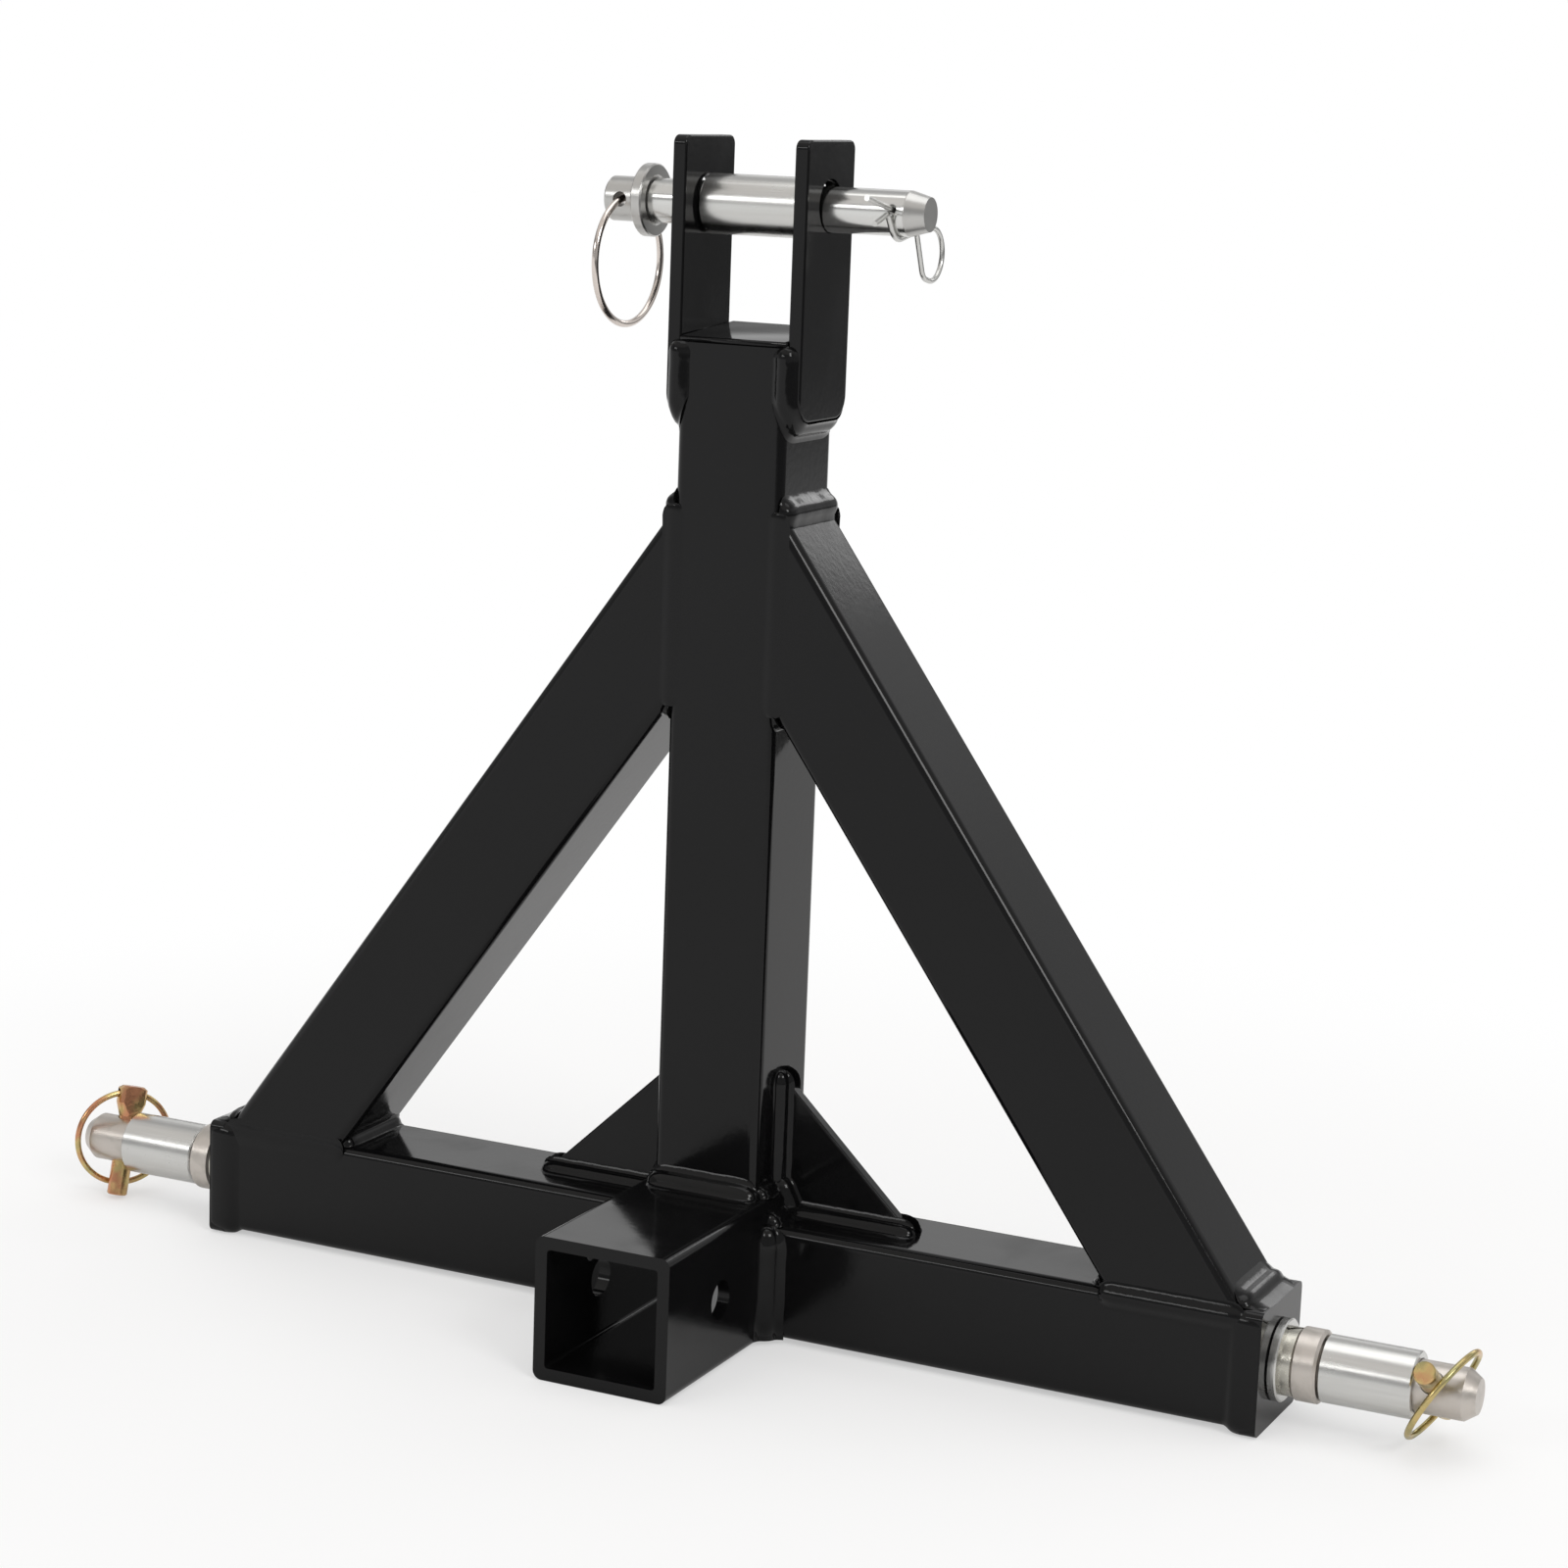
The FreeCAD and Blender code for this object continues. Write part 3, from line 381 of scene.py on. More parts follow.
def build_bright_zinc(groups):
    """Bright plate on drawn sleeves, washers and wire, whose gloss runs in lines along X."""
    material, tree, shader = new_finish("bright_zinc")
    streak = use_group(tree, groups["streaks"], 0, 0, Streak_width=0.0016).outputs["Streak"]
    smudges = use_group(tree, groups["smudges"], 0, 2, Smudge_size=0.012)
    colour = shade_between(tree, 3, 0, streak, (0.53, 0.525, 0.505), (0.66, 0.66, 0.645))
    lines = range_of(tree, 3, 1, streak, 0.18, 0.3)
    gloss = sum_of(tree, 4, 1, lines, smudges.outputs["Smudge"], 0.03)
    dress_in_metal(tree, shader, colour, gloss)
    add_bump(tree, shader, streak, 0.00003, 0.12)
    return material


def build_turned_zinc(groups):
    """The same plate on the top pin and its collar, where the lathe left rings at both ends."""
    material, tree, shader = new_finish("turned_zinc")
    drawn = use_group(tree, groups["streaks"], 0, 0, Streak_width=0.0016, Ring_pitch=0.0009)
    smudges = use_group(tree, groups["smudges"], 0, 2, Smudge_size=0.01)
    along = axes_of(tree, 1, 4, object_place(tree, 0, 4))["X"]
    # a box is its low corner and its high corner, and the nose is at the pin's right end
    nose_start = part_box("top_pin")[1][0] - NOSE_LENGTH
    collar_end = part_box("top_pin_collar")[1][0]
    nose = smooth_step(tree, 2, 4, along, nose_start - RING_FADE, nose_start)
    collar = smooth_step(tree, 2, 5, along, collar_end + RING_FADE, collar_end)
    turned = combined(tree, 3, 4, "MAXIMUM", nose, collar)
    colour = shade_between(tree, 4, 0, turned, (0.64, 0.64, 0.625), (0.5, 0.495, 0.48))
    smudged = range_of(tree, 4, 1, smudges.outputs["Smudge"], 0.17, 0.21)
    dress_in_metal(tree, shader, colour, sum_of(tree, 5, 1, smudged, turned, 0.12))
    rings = combined(tree, 4, 3, "MULTIPLY", drawn.outputs["Ring"], turned)
    height = sum_of(tree, 5, 3, drawn.outputs["Streak"], rings, 9.0)
    add_bump(tree, shader, height, 0.00003, 0.14)
    return material


def build_dull_zinc(groups):
    """The spring washers' plate, thinner and yellower than the flat washers'."""
    material, tree, shader = new_finish("dull_zinc")
    smudges = use_group(tree, groups["smudges"], 0, 0, Smudge_size=0.004)
    peel = use_group(tree, groups["peel"], 0, 2, Dimple_size=0.0015, Cloud_size=0.008)
    cloud = peel.outputs["Cloud"]
    colour = shade_between(tree, 3, 0, cloud, (0.4, 0.385, 0.33), (0.58, 0.565, 0.51))
    gloss = range_of(tree, 3, 1, smudges.outputs["Smudge"], 0.24, 0.4)
    dress_in_metal(tree, shader, colour, gloss)
    add_bump(tree, shader, peel.outputs["Height"], 0.0001, 0.2)
    return material


def build_bare_steel(groups):
    """Turned and unplated, with the tool's fine rings and darker smudges."""
    material, tree, shader = new_finish("bare_steel")
    ring = use_group(tree, groups["streaks"], 0, 0, Ring_pitch=0.0005).outputs["Ring"]
    smudge = use_group(tree, groups["smudges"], 0, 2, Smudge_size=0.009).outputs["Smudge"]
    colour = shade_between(tree, 3, 0, smudge, (0.56, 0.52, 0.48), (0.47, 0.44, 0.4))
    dress_in_metal(tree, shader, colour, range_of(tree, 3, 1, ring, 0.28, 0.42))
    add_bump(tree, shader, sum_of(tree, 4, 3, ring, smudge, 1.5), 0.00008, 0.35)
    return material


def build_yellow_zinc(groups):
    """Yellow zinc plate whose tint drifts between straw, olive and copper."""
    material, tree, shader = new_finish("yellow_zinc")
    peel = use_group(tree, groups["peel"], 0, 0, Dimple_size=0.003, Cloud_size=0.011)
    smudges = use_group(tree, groups["smudges"], 0, 2, Smudge_size=0.006)
    ramp = new_node(tree, "ShaderNodeValToRGB", 3, 0)
    band = ramp.color_ramp
    olive, copper = band.elements
    olive.position = 0.3
    olive.color = (0.36, 0.33, 0.16, 1.0)
    copper.position = 0.68
    copper.color = (0.58, 0.27, 0.15, 1.0)
    straw = band.elements.new(0.5)
    straw.color = (0.6, 0.46, 0.2, 1.0)
    # the left pin's plate has turned to copper, the right one's is still straw
    turn = new_node(tree, "ShaderNodeMapRange", 2, 4)
    set_inputs(turn, From_Min=-0.33, From_Max=0.33, To_Min=0.12, To_Max=-0.1)
    tree.links.new(axes_of(tree, 1, 4, object_place(tree, 0, 4))["X"], turn.inputs["Value"])
    tint = sum_of(tree, 2, 0, peel.outputs["Cloud"], turn.outputs["Result"], 1.0)
    tree.links.new(tint, ramp.inputs["Fac"])
    gloss = range_of(tree, 3, 1, smudges.outputs["Smudge"], 0.24, 0.38)
    dress_in_metal(tree, shader, ramp.outputs["Color"], gloss)
    add_bump(tree, shader, peel.outputs["Height"], 0.0001, 0.2)
    return material


def build_nickel(groups):
    """The pull ring's warm grey plate."""
    material, tree, shader = new_finish("nickel_wire")
    peel = use_group(tree, groups["peel"], 0, 0, Dimple_size=0.004, Cloud_size=0.014)
    smudges = use_group(tree, groups["smudges"], 0, 2, Smudge_size=0.008)
    cloud = peel.outputs["Cloud"]
    colour = shade_between(tree, 3, 0, cloud, (0.62, 0.54, 0.49), (0.72, 0.67, 0.63))
    gloss = range_of(tree, 3, 1, smudges.outputs["Smudge"], 0.14, 0.24)
    dress_in_metal(tree, shader, colour, gloss)
    add_bump(tree, shader, peel.outputs["Height"], 0.0001, 0.15)
    return material


def build_finishes():
    groups = {
        "peel": build_orange_peel(),
        "smudges": build_smudges(),
        "streaks": build_drawn_streaks(),
    }
    return {
        "black_paint": build_black_paint(groups),
        "weld_paint": build_weld_paint(groups),
        "bright_zinc": build_bright_zinc(groups),
        "turned_zinc": build_turned_zinc(groups),
        "dull_zinc": build_dull_zinc(groups),
        "bare_steel": build_bare_steel(groups),
        "yellow_zinc": build_yellow_zinc(groups),
        "nickel": build_nickel(groups),
    }


def finish_nodes(finishes):
    """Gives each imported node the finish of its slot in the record, or a special one."""
    slots = {part["node"]: part["material_slot"] for part in frame["record"]["subparts"]}
    special = {
        "top_pin": "turned_zinc",
        "top_pin_collar": "turned_zinc",
        "lock_washer_left": "dull_zinc",
        "lock_washer_right": "dull_zinc",
    }
    for name, piece in frame["nodes"].items():
        piece.data.materials.clear()
        piece.data.materials.append(finishes[special.get(name, slots[name])])


# weld beads under their paint: round crowns whose toes run out flat on the faces that they join

def bead_section(crown, first_toe, second_toe, root=(ROOT, ROOT)):
    """A bead's skin from one toe round to the other, as steps on two axes, and its sunk root."""
    start = math.atan2(first_toe[1], first_toe[0])
    turn = math.atan2(second_toe[1], second_toe[0]) - start
    points = []
    for i in range(SKIN_STEPS + 1):
        share = (1 - math.cos(math.pi * i / SKIN_STEPS)) / 2
        reach = math.hypot(*(first_toe if share < 0.5 else second_toe))
        radius = crown + (reach - crown) * abs(2 * share - 1) ** 7
        angle = start + turn * share
        points.append((radius * math.cos(angle), radius * math.sin(angle)))
    return points + [root]


def fillet_section(crown, first_leg, second_leg):
    """A bead's skin in a square corner, by its crown and its leg on each of the two faces."""
    return bead_section(crown, (first_leg, SUNK), (SUNK, second_leg))


def swell_section(half_width, rise):
    """A low bead over a flush seam, that swells from one face and sinks into the next."""
    points = []
    for i in range(SKIN_STEPS + 1):
        step = 2 * i / SKIN_STEPS - 1
        points.append((step * half_width, rise * (0.5 + 0.5 * math.cos(math.pi * step)) - 0.00004))
    return points + [(0.0, ROOT)]


def bead_run(start, end, across, outward, section, soft_start=True):
    """Stations along a straight bead, with round ends and the slow swell of a welder's hand."""
    start = Vector(start)
    end = Vector(end)
    length = (end - start).length
    leg = section[0][0] if abs(section[0][0]) > abs(section[0][1]) else section[0][1]
    leg = min(abs(leg), length / 3)
    marks = [(share * leg, size) for share, size in ROUND_END] if soft_start else [(0.0, 1.0)]
    count = max(3, round((length - 2 * leg) / STATION_GAP))
    for i in range(count + 1):
        along = leg + (length - 2 * leg) * i / count
        swell = HAND_SWELL * math.sin(along / HAND_FAST) * math.sin(along / HAND_SLOW + 1)
        marks.append((along, 1.0 + swell))
    marks += [(length - share * leg, size) for share, size in reversed(ROUND_END)]
    return [
        (start.lerp(end, along / length), Vector(across), Vector(outward), size, section)
        for along, size in marks
    ]


def station_points(station):
    centre, across, outward, size, section = station
    return [centre + (across * a + outward * b) * size for a, b in section]


def lay_bead(form, stations, closed=False):
    """Extrudes a bead's section from station to station, its toe lines kept sharp."""
    ring = [form.verts.new(place) for place in station_points(stations[0])]
    count = len(ring)
    edges = [form.edges.new((ring[i], ring[(i + 1) % count])) for i in range(count)]
    if not closed:
        form.faces.new(ring)
    for station in stations[1:]:
        grown = bmesh.ops.extrude_edge_only(form, edges=edges)
        fresh = {item for item in grown["geom"] if isinstance(item, bmesh.types.BMVert)}
        after = []
        for vert in ring:
            link = next(edge for edge in vert.link_edges if edge.other_vert(vert) in fresh)
            link.smooth = len(after) not in (0, count - 2)
            after.append(link.other_vert(vert))
        for vert, place in zip(after, station_points(station)):
            vert.co = place
        ring = after
        edges = [form.edges.get((ring[i], ring[(i + 1) % count])) for i in range(count)]
    if not closed:
        form.faces.new(ring)


def finish_piece(form, name, body, finish, nodes=()):
    """Makes a bmesh an object that rides on a body and stands for the nodes that it replaces."""
    bmesh.ops.remove_doubles(form, verts=form.verts, dist=0.000001)
    bmesh.ops.recalc_face_normals(form, faces=form.faces)
    for face in form.faces:
        face.smooth = True
    mesh = bpy.data.meshes.new(name)
    form.to_mesh(mesh)
    form.free()
    piece = bpy.data.objects.new(name, mesh)
    bpy.context.scene.collection.objects.link(piece)
    mesh.materials.append(finish)
    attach(piece, body)
    if nodes:
        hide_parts(*nodes)


def finish_bead(form, node, paint):
    """Keeps a bead above the ground and puts it in its node's place."""
    for vert in form.verts:
        vert.co.z = max(vert.co.z, 0.0)
    finish_piece(form, node.replace("weld", "bead"), "frame", paint, [node])


def lay_gusset_bead(side, where, node, paint):
    """Down the mast, over the receiver's shoulder and out along the crossbar."""
    form = bmesh.new()
    out = X * side
    face = Y * where
    y = where * GUSSET_FACE
    fillet = fillet_section(0.0048, 0.007, 0.007)
    top = (side * HALF, y, GUSSET_TOP + 0.0025)
    lay_bead(form, bead_run(top, (side * HALF, y, RECEIVER_TOP - 0.002), out, face, fillet))
    # square to the shoulder bead, which runs down and outward
    slope = Vector((side * 0.863, 0, 0.505))
    shoulder = bead_section(0.0054, (0.0068, -0.0001), (-0.0001, 0.0068), (-0.006, -0.001))
    high = (side * (HALF + 0.0005), y, RECEIVER_TOP + 0.005)
    low = (side * (RECEIVER_HALF + 0.003), y, BAR_TOP - 0.001)
    lay_bead(form, bead_run(high, low, slope, face, shoulder))
    start = (side * (RECEIVER_HALF - 0.001), y, BAR_TOP)
    lay_bead(form, bead_run(start, (side * (GUSSET_TOE + 0.002), y, BAR_TOP), Z, face, fillet))
    finish_bead(form, node, paint)


def lay_mast_foot_bead(where, node, paint):
    """Along the mast's face on the receiver, and back along both of its sides to the gussets."""
    form = bmesh.new()
    face = Y * where
    left = (-HALF - 0.002, where * HALF, RECEIVER_TOP)
    right = (HALF + 0.002, where * HALF, RECEIVER_TOP)
    if where < 0:
        fillet = fillet_section(0.0064, 0.0092, 0.0088)
        lay_bead(form, bead_run(left, right, face, Z, fillet))
    else:
        lay_bead(form, bead_run(left, right, Z, face, swell_section(0.0085, 0.0018)))
    ledge = fillet_section(0.0044, 0.006, 0.006)
    for side in (1, -1):
        start = (side * HALF, where * (HALF - 0.002), RECEIVER_TOP)
        end = (side * HALF, where * 0.006, RECEIVER_TOP)
        lay_bead(form, bead_run(start, end, X * side, Z, ledge))
    finish_bead(form, node, paint)


def lay_receiver_bead(side, where, node, paint):
    """Up the corner between the receiver and a crossbar, and over the crossbar's top."""
    form = bmesh.new()
    out = X * side
    face = Y * where
    x = side * RECEIVER_HALF
    low = (x, where * HALF, BAR_BOTTOM + 0.0001)
    high = (x, where * HALF, BAR_TOP + 0.001)
    if where < 0:
        fillet = fillet_section(0.0066, 0.0096, 0.0098)
        lay_bead(form, bead_run(low, high, face, out, fillet, soft_start=False))
    else:
        swell = swell_section(0.0085, 0.0018)
        lay_bead(form, bead_run(low, high, out, face, swell, soft_start=False))
    ledge = fillet_section(0.0052, 0.0074, 0.0074)
    start = (x, where * (HALF - 0.0005), BAR_TOP)
    lay_bead(form, bead_run(start, (x, where * 0.005, BAR_TOP), Z, out, ledge))
    finish_bead(form, node, paint)


def lay_ear_bead(side, node, paint):
    """Down an ear's front edge, round its foot and up its rear edge."""
    form = bmesh.new()
    flat = bead_section(0.0048, (0.0064, -0.0009), (SUNK, 0.0076))
    corner = bead_section(0.0046, (0.0053, SUNK), (-0.0056, 0.0021), (-0.003, -0.002))
    x = side * HALF
    straight = EAR_FOOT + EAR_BEND
    top = (x, -EAR_EDGE, MAST_TOP + 0.001)
    # the straight bead goes on round the foot, so its lower round end is left out
    run = bead_run(top, (x, -EAR_EDGE, straight), X * side, -Y, corner)
    stations = run[:-len(ROUND_END)]
    bend_steps = 12
    for i in range(bend_steps + 1):
        angle = math.radians(90 * i / bend_steps)
        outward = -Y * math.cos(angle) - Z * math.sin(angle)
        # the section goes over from the edge's to the foot's in the first 60 degrees
        share = min(1.0, i / 8)
        section = [
            (a + (c - a) * share, b + (d - b) * share) for (a, b), (c, d) in zip(corner, flat)
        ]
        centre = Vector((x, -EAR_EDGE + EAR_BEND, straight)) + outward * EAR_BEND
        stations.append((centre, X * side, outward, 1.0, section))
    mirrored = []
    for centre, across, outward, size, section in reversed(stations):
        rear_centre = Vector((centre.x, -centre.y, centre.z))
        rear_outward = Vector((0, -outward.y, outward.z))
        mirrored.append((rear_centre, across, rear_outward, size, section))
    lay_bead(form, stations + mirrored)
    finish_bead(form, node, paint)


def lay_brace_head_bead(side, node, paint):
    """Over and under a brace where it meets the mast, and down both flush seams."""
    form = bmesh.new()
    low_z = BRACE_HEAD - 2 * HALF / BRACE_IN
    toe = (0.0074 * BRACE_IN, -0.0074 * BRACE_UP)
    over = bead_section(0.0054, toe, (SUNK, 0.0078))
    under = bead_section(0.0064, toe, (-SUNK, -0.0074), (ROOT, 0.003))
    x = side * HALF
    deep = HALF + 0.0005
    lay_bead(form, bead_run((x, -deep, BRACE_HEAD), (x, deep, BRACE_HEAD), X * side, Z, over))
    lay_bead(form, bead_run((x, -deep, low_z), (x, deep, low_z), X * side, Z, under))
    swell = swell_section(0.0055, 0.0009)
    for where in (-1, 1):
        high = (side * (HALF - 0.0005), where * HALF, BRACE_HEAD + 0.001)
        low = (side * (HALF - 0.0005), where * HALF, low_z - 0.001)
        lay_bead(form, bead_run(high, low, X * side, Y * where, swell))
    finish_bead(form, node, paint)


def lay_brace_foot_bead(side, node, paint):
    """Along a brace's flush seams on the crossbar, and across it on both sides."""
    form = bmesh.new()
    inner_x = BRACE_FOOT - 2 * HALF / BRACE_UP
    # the left seam was ground nearly flush
    swell = swell_section(0.007, 0.0027 if side > 0 else 0.0009)
    seam = BAR_TOP - 0.0022
    for where in (-1, 1):
        start = (side * (inner_x - 0.002), where * HALF, seam)
        end = (side * (BRACE_FOOT + 0.0005), where * HALF, seam)
        lay_bead(form, bead_run(start, end, Z, Y * where, swell))
    up_brace = (0.0074 * BRACE_IN, 0.0074 * BRACE_UP)
    inside = bead_section(0.0058, (0.0074, SUNK), up_brace, (-0.003, ROOT))
    x = side * inner_x
    deep = HALF - 0.001
    lay_bead(form, bead_run((x, -deep, BAR_TOP), (x, deep, BAR_TOP), -X * side, Z, inside))
    outside = bead_section(0.0047, (0.0104, -0.0009), (-0.0094 * BRACE_IN, 0.0094 * BRACE_UP))
    x = side * (BRACE_FOOT - 0.002)
    z = BAR_TOP + 0.0026
    lay_bead(form, bead_run((x, -deep, z), (x, deep, z), X * side, Z, outside))
    finish_bead(form, node, paint)


def lay_end_plate_bead(side, node, paint):
    """A flat band round the end of a crossbar that runs out on the end plate's rim."""
    form = bmesh.new()
    skin = [
        (-0.0082, SUNK), (-0.0072, 0.0002), (-0.0062, 0.0007), (-0.0052, 0.0014),
        (-0.0042, 0.0020), (-0.0030, 0.0024), (-0.0016, 0.0026), (0.0, 0.0027),
        (0.0015, 0.00265), (0.003, 0.00255), (0.0042, 0.0024), (0.0053, 0.0022),
        (0.0061, 0.002), (0.0064, 0.0018),
    ]
    section = skin + [(0.003, -0.001)]
    flat = HALF - PLATE_BEND
    corners = ((flat, flat), (-flat, flat), (-flat, -flat), (flat, -flat))
    middle = Vector((side * PLATE_SIDE, 0, LOWER_AXIS))
    stations = []
    for quarter, (y, z) in enumerate(corners):
        for i in range(7):
            angle = math.radians(90 * quarter + 15 * i)
            outward = Y * math.cos(angle) + Z * math.sin(angle)
            centre = middle + Vector((0, y, z)) + outward * PLATE_BEND
            stations.append((centre, X * side, outward, 1.0, section))
    lay_bead(form, stations + stations[:1], closed=True)
    finish_bead(form, node, paint)


def lay_beads(paint):
    for name, side in (("left", -1), ("right", 1)):
        lay_end_plate_bead(side, f"weld_end_plate_{name}", paint)
        lay_brace_foot_bead(side, f"weld_brace_foot_{name}", paint)
        lay_brace_head_bead(side, f"weld_brace_head_{name}", paint)
        lay_ear_bead(side, f"weld_ear_{name}", paint)
        for face, where in (("front", -1), ("rear", 1)):
            lay_receiver_bead(side, where, f"weld_receiver_{name}_{face}", paint)
            lay_gusset_bead(side, where, f"weld_gusset_{name}_{face}", paint)
    lay_mast_foot_bead(-1, "weld_mast_foot_front", paint)
    lay_mast_foot_bead(1, "weld_mast_foot_rear", paint)


# the mast's cap and a run of paint

def build_sloping_cap(paint):
    """A lid on the mast that slopes down to the front, with a rounded rim."""
    form = bmesh.new()
    bmesh.ops.create_cube(form, size=1.0)
    bmesh.ops.scale(form, vec=(CAP_SIDE, CAP_SIDE, 0.004), verts=form.verts)
    bmesh.ops.translate(form, vec=(0, 0, MAST_TOP + 0.002), verts=form.verts)
    for vert in form.verts:
        if vert.co.z > MAST_TOP + 0.002:
            vert.co.z = MAST_TOP + (CAP_REAR if vert.co.y > 0 else CAP_FRONT)
        else:
            # the underside reaches a little into the mast
            vert.co.z -= 0.0002
    rim = [edge for edge in form.edges if all(vert.co.z > MAST_TOP + 0.001 for vert in edge.verts)]
    bmesh.ops.bevel(
        form, geom=rim, offset=0.0009, segments=4, profile=0.5, affect="EDGES", material=-1
    )
    finish_piece(form, "sloping_cap", "frame", paint, ["mast_cap"])


def build_paint_run(paint):
    """A drop that set under the top edge of the mouth, wider above than below."""
    form = bmesh.new()
    bmesh.ops.create_icosphere(form, subdivisions=3, radius=0.001)
    bmesh.ops.scale(form, vec=(1.6, 1.25, 2.0), verts=form.verts)
    for vert in form.verts:
        vert.co.x *= 1.0 + 0.8 * max(0.0, vert.co.z) / 0.002
    bmesh.ops.translate(form, vec=(-0.0062, MOUTH + 0.0013, SOCKET_TOP), verts=form.verts)
    finish_piece(form, "paint_run", "frame", paint)


# floor, world and lamps

def add_floor():
    """A pale floor that keeps the shadow near the object and runs out to white further away."""
    mesh = bpy.data.meshes.new("floor")
    form = bmesh.new()
    bmesh.ops.create_grid(form, x_segments=1, y_segments=1, size=40)
    bmesh.ops.translate(form, verts=form.verts, vec=(0, 0, -0.0002))
    form.to_mesh(mesh)
    form.free()
    floor = bpy.data.objects.new("floor", mesh)
    bpy.context.scene.collection.objects.link(floor)
    material, tree, shader = new_finish("pale_floor")
    place = object_place(tree, 0, 0)
    grain = noise_at(tree, 1, 0, place, scale=3.0)
    colour = shade_between(tree, 3, 0, grain, (0.9, 0.9, 0.9), (0.92, 0.92, 0.92))
    tree.links.new(colour, shader.inputs["Base Color"])
    set_inputs(shader, Roughness=0.9, Specular_IOR_Level=0.1)
    # how much of its own white the floor shows at a distance, when it is seen and when mirrored
    away = new_node(tree, "ShaderNodeVectorMath", 1, 3, operation="LENGTH")
    tree.links.new(place, away.inputs[0])
    path = new_node(tree, "ShaderNodeLightPath", 1, 5).outputs
    near = smooth_step(tree, 3, 3, away.outputs["Value"], 0.3, 0.8, 0.5, 1.0)
    far = smooth_step(tree, 3, 4, away.outputs["Value"], 0.6, 2.2, 0.1, 1.0)
    seen = combined(tree, 5, 3, "MULTIPLY", near, path["Is Camera Ray"])
    bounced = combined(tree, 4, 5, "MAXIMUM", path["Is Glossy Ray"], path["Is Transmission Ray"])
    mirrored = combined(tree, 5, 4, "MULTIPLY", far, bounced)
    share = combined(tree, 6, 4, "MAXIMUM", seen, mirrored)
    # at the right end the floor's glow is painted dark grey for mirrored rays only, a painted dark
    # reflection in the faces that look to the right, while the camera still sees it white
    right_end = smooth_step(tree, 2, 7, axes_of(tree, 1, 7, place)["X"], 0.6, 2.2)
    painted_dark_share = combined(tree, 6, 6, "MULTIPLY", right_end, bounced)
    # the glow's colour, white except for the painted shade at the right end in reflections
    shade = shade_between(tree, 7, 6, painted_dark_share, (1.0, 1.0, 1.0), (0.2, 0.2, 0.2))
    glow = set_inputs(new_node(tree, "ShaderNodeEmission", 9, 4), Strength=1.0)
    tree.links.new(shade, glow.inputs["Color"])
    blend = new_node(tree, "ShaderNodeMixShader", 10, 2)
    tree.links.new(share, blend.inputs[0])
    tree.links.new(shader.outputs[0], blend.inputs[1])
    tree.links.new(glow.outputs[0], blend.inputs[2])
    tree.links.new(blend.outputs[0], tree.nodes["Material Output"].inputs["Surface"])
    mesh.materials.append(material)


def sky_ramp(tree, height, row, stops):
    """The brightness of one side of the room, from white at the horizon up."""
    ramp = new_node(tree, "ShaderNodeValToRGB", 2, row)
    tree.links.new(height, ramp.inputs["Fac"])
    band = ramp.color_ramp
    horizon, zenith = band.elements
    horizon.position = 0.0
    horizon.color = (1.0, 1.0, 1.0, 1.0)
    zenith.position = 1.0
    zenith.color = (0.6, 0.6, 0.6, 1.0)
    for place, red, blue in stops:
        stop = band.elements.new(place)
        stop.color = (red, (red + blue) / 2, blue, 1.0)
    return ramp.outputs["Color"]


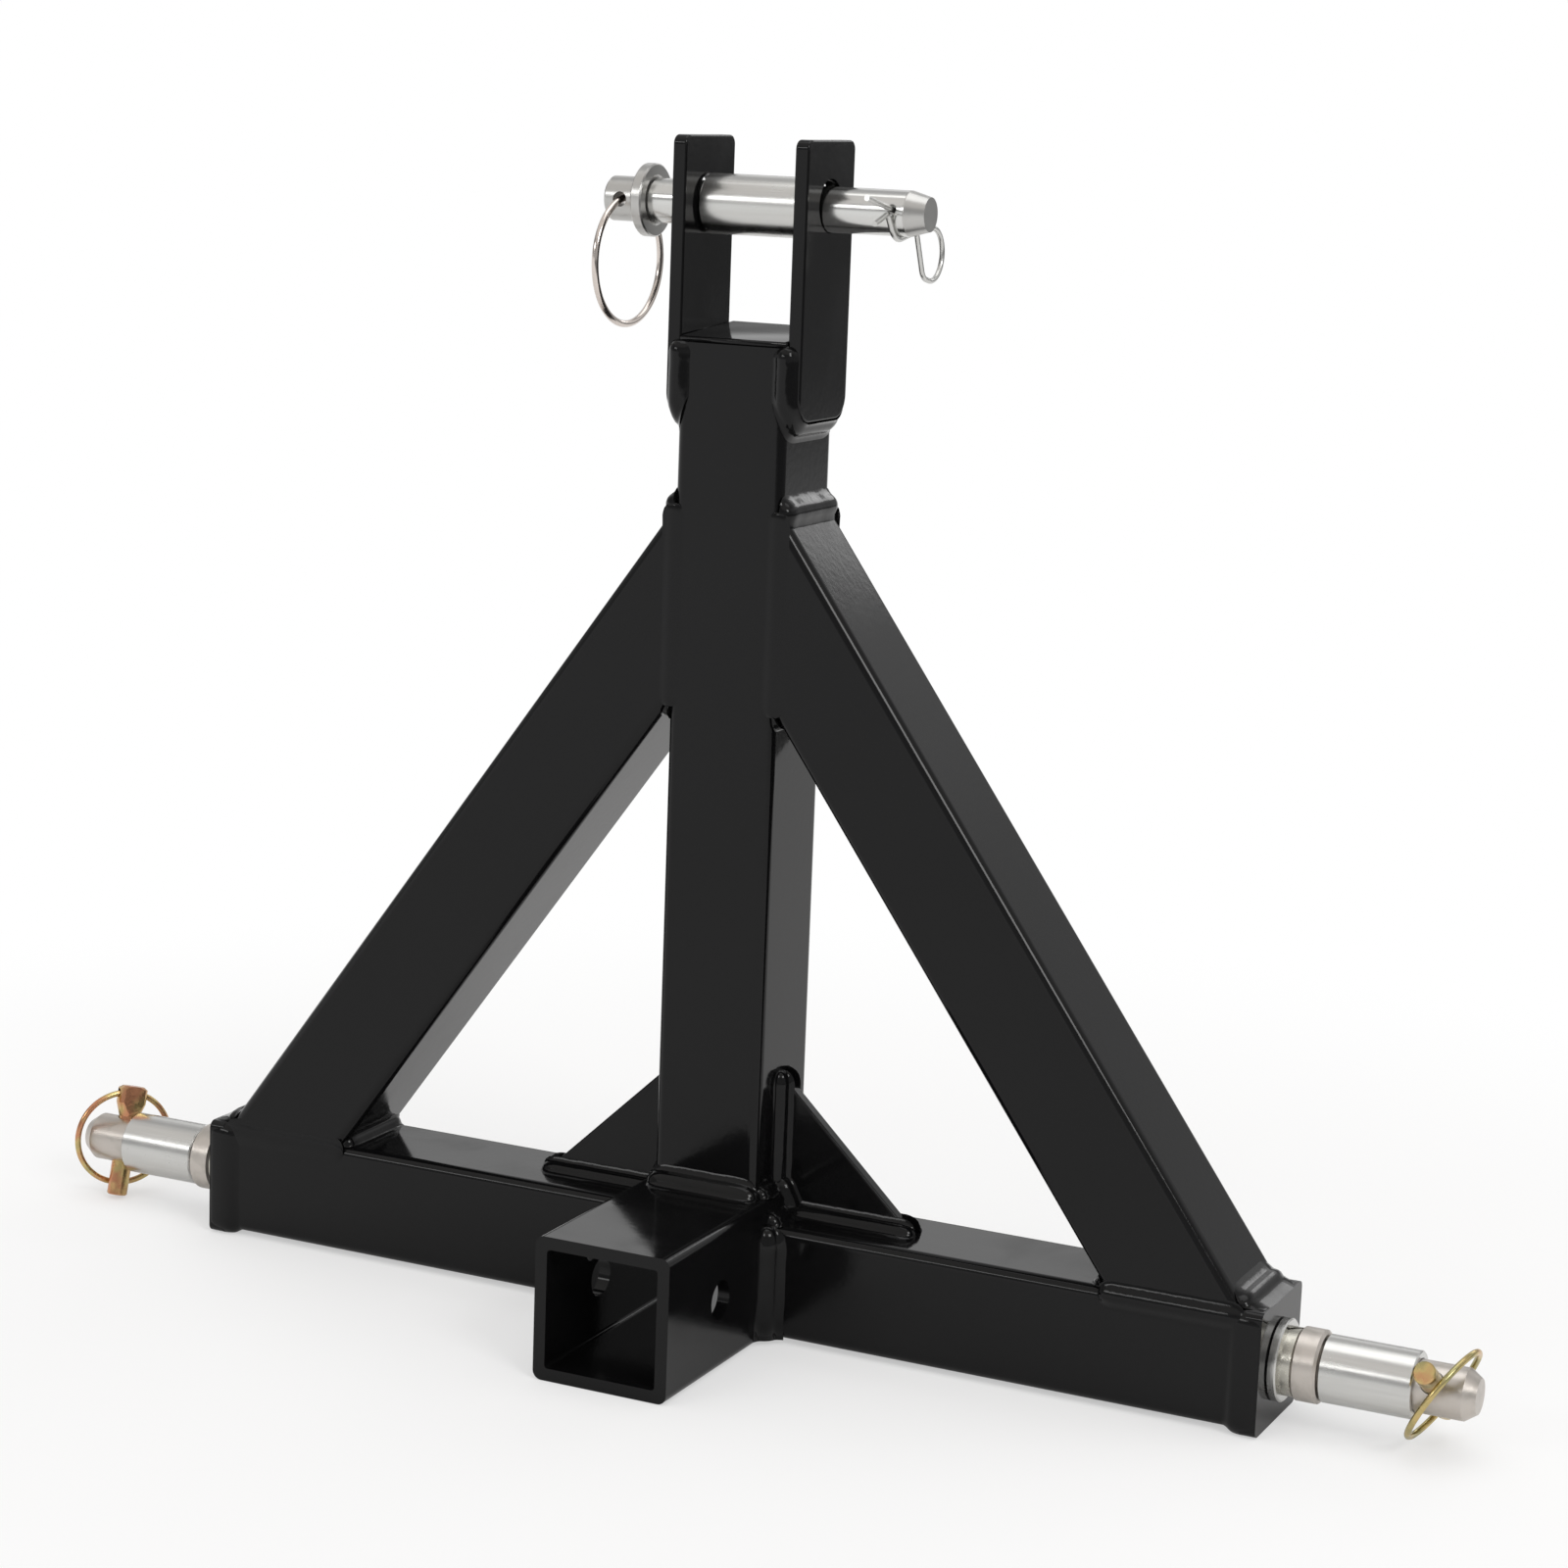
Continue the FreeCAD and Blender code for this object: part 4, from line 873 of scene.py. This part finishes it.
def light_world():
    """A pale room: a lit wall behind the object, and a dimmer side towards the camera."""
    world = bpy.data.worlds.new("pale_room")
    bpy.context.scene.world = world
    world.use_nodes = True
    tree = world.node_tree
    place = new_node(tree, "ShaderNodeTexCoord", 0, 0).outputs["Generated"]
    parts = axes_of(tree, 1, 0, place)
    # each stop is a height, and its brightness in red and in blue
    front_stops = ((0.03, 1.0, 1.0), (0.09, 0.5, 0.5), (0.3, 0.34, 0.34), (0.48, 0.36, 0.35),
                   (0.6, 0.8, 0.76), (0.86, 0.84, 0.79))
    back_stops = ((0.03, 1.0, 1.0), (0.1, 0.24, 0.24), (0.22, 0.2, 0.2), (0.3, 1.05, 1.05),
                  (0.5, 0.85, 0.85), (0.7, 0.5, 0.5))
    room = new_node(tree, "ShaderNodeMix", 5, 0, data_type="RGBA")
    tree.links.new(smooth_step(tree, 3, 4, parts["Y"], -0.1, 0.4), room.inputs[MIX_SHARE])
    tree.links.new(sky_ramp(tree, parts["Z"], 0, front_stops), room.inputs[MIX_FIRST])
    tree.links.new(sky_ramp(tree, parts["Z"], 2, back_stops), room.inputs[MIX_SECOND])
    # low on the right the room is dimmer, except where the camera sees it
    rightward = smooth_step(tree, 3, 5, parts["X"], 0.0, 0.25)
    low = smooth_step(tree, 3, 6, parts["Z"], 0.5, 0.2)
    corner = combined(tree, 4, 5, "MULTIPLY", rightward, low)
    path = new_node(tree, "ShaderNodeLightPath", 3, 7)
    unseen = new_node(tree, "ShaderNodeMath", 4, 7, operation="SUBTRACT")
    unseen.inputs[0].default_value = 1.0
    tree.links.new(path.outputs["Is Camera Ray"], unseen.inputs[1])
    share = combined(tree, 5, 5, "MULTIPLY", corner, unseen.outputs[0])
    dimmed = new_node(tree, "ShaderNodeMix", 6, 0, data_type="RGBA")
    dimmed.inputs[MIX_SECOND].default_value = (0.48, 0.48, 0.48, 1.0)
    tree.links.new(share, dimmed.inputs[MIX_SHARE])
    tree.links.new(room.outputs[MIX_RESULT], dimmed.inputs[MIX_FIRST])
    back = set_inputs(tree.nodes["Background"], Strength=1.0)
    tree.links.new(dimmed.outputs[MIX_RESULT], back.inputs["Color"])


def add_softbox(name, place, width, height, watts):
    """A lamp with a bright rectangle for its face, aimed at the object."""
    data = bpy.data.lights.new(name, "AREA")
    data.shape = "RECTANGLE"
    data.size = width
    data.size_y = height
    data.energy = watts
    lamp = bpy.data.objects.new(name, data)
    bpy.context.scene.collection.objects.link(lamp)
    facing = (Vector(LAMP_AIM) - Vector(place)).to_track_quat("-Z", "Y").to_matrix().to_4x4()
    lamp.matrix_world = Matrix.Translation(place) @ facing


def add_lamps():
    add_softbox("strip_left", (-1.75, -3.3, 1.95), 2.2, 0.5, 18)
    add_softbox("strip_right", (2.6, -1.65, 2.35), 1.1, 1.1, 34)
    add_softbox("strip_rear", (0.42, 3.2, 1.7), 1.0, 0.5, 3.5)
    add_softbox("softbox_top", (0.2, 0.4, 3.2), 2.4, 2.4, 24)


add_camera()
FINISHES = build_finishes()
finish_nodes(FINISHES)
lay_beads(FINISHES["weld_paint"])
build_sloping_cap(FINISHES["black_paint"])
build_paint_run(FINISHES["black_paint"])
add_floor()
light_world()
add_lamps()
bpy.context.scene.view_settings.view_transform = "Standard"
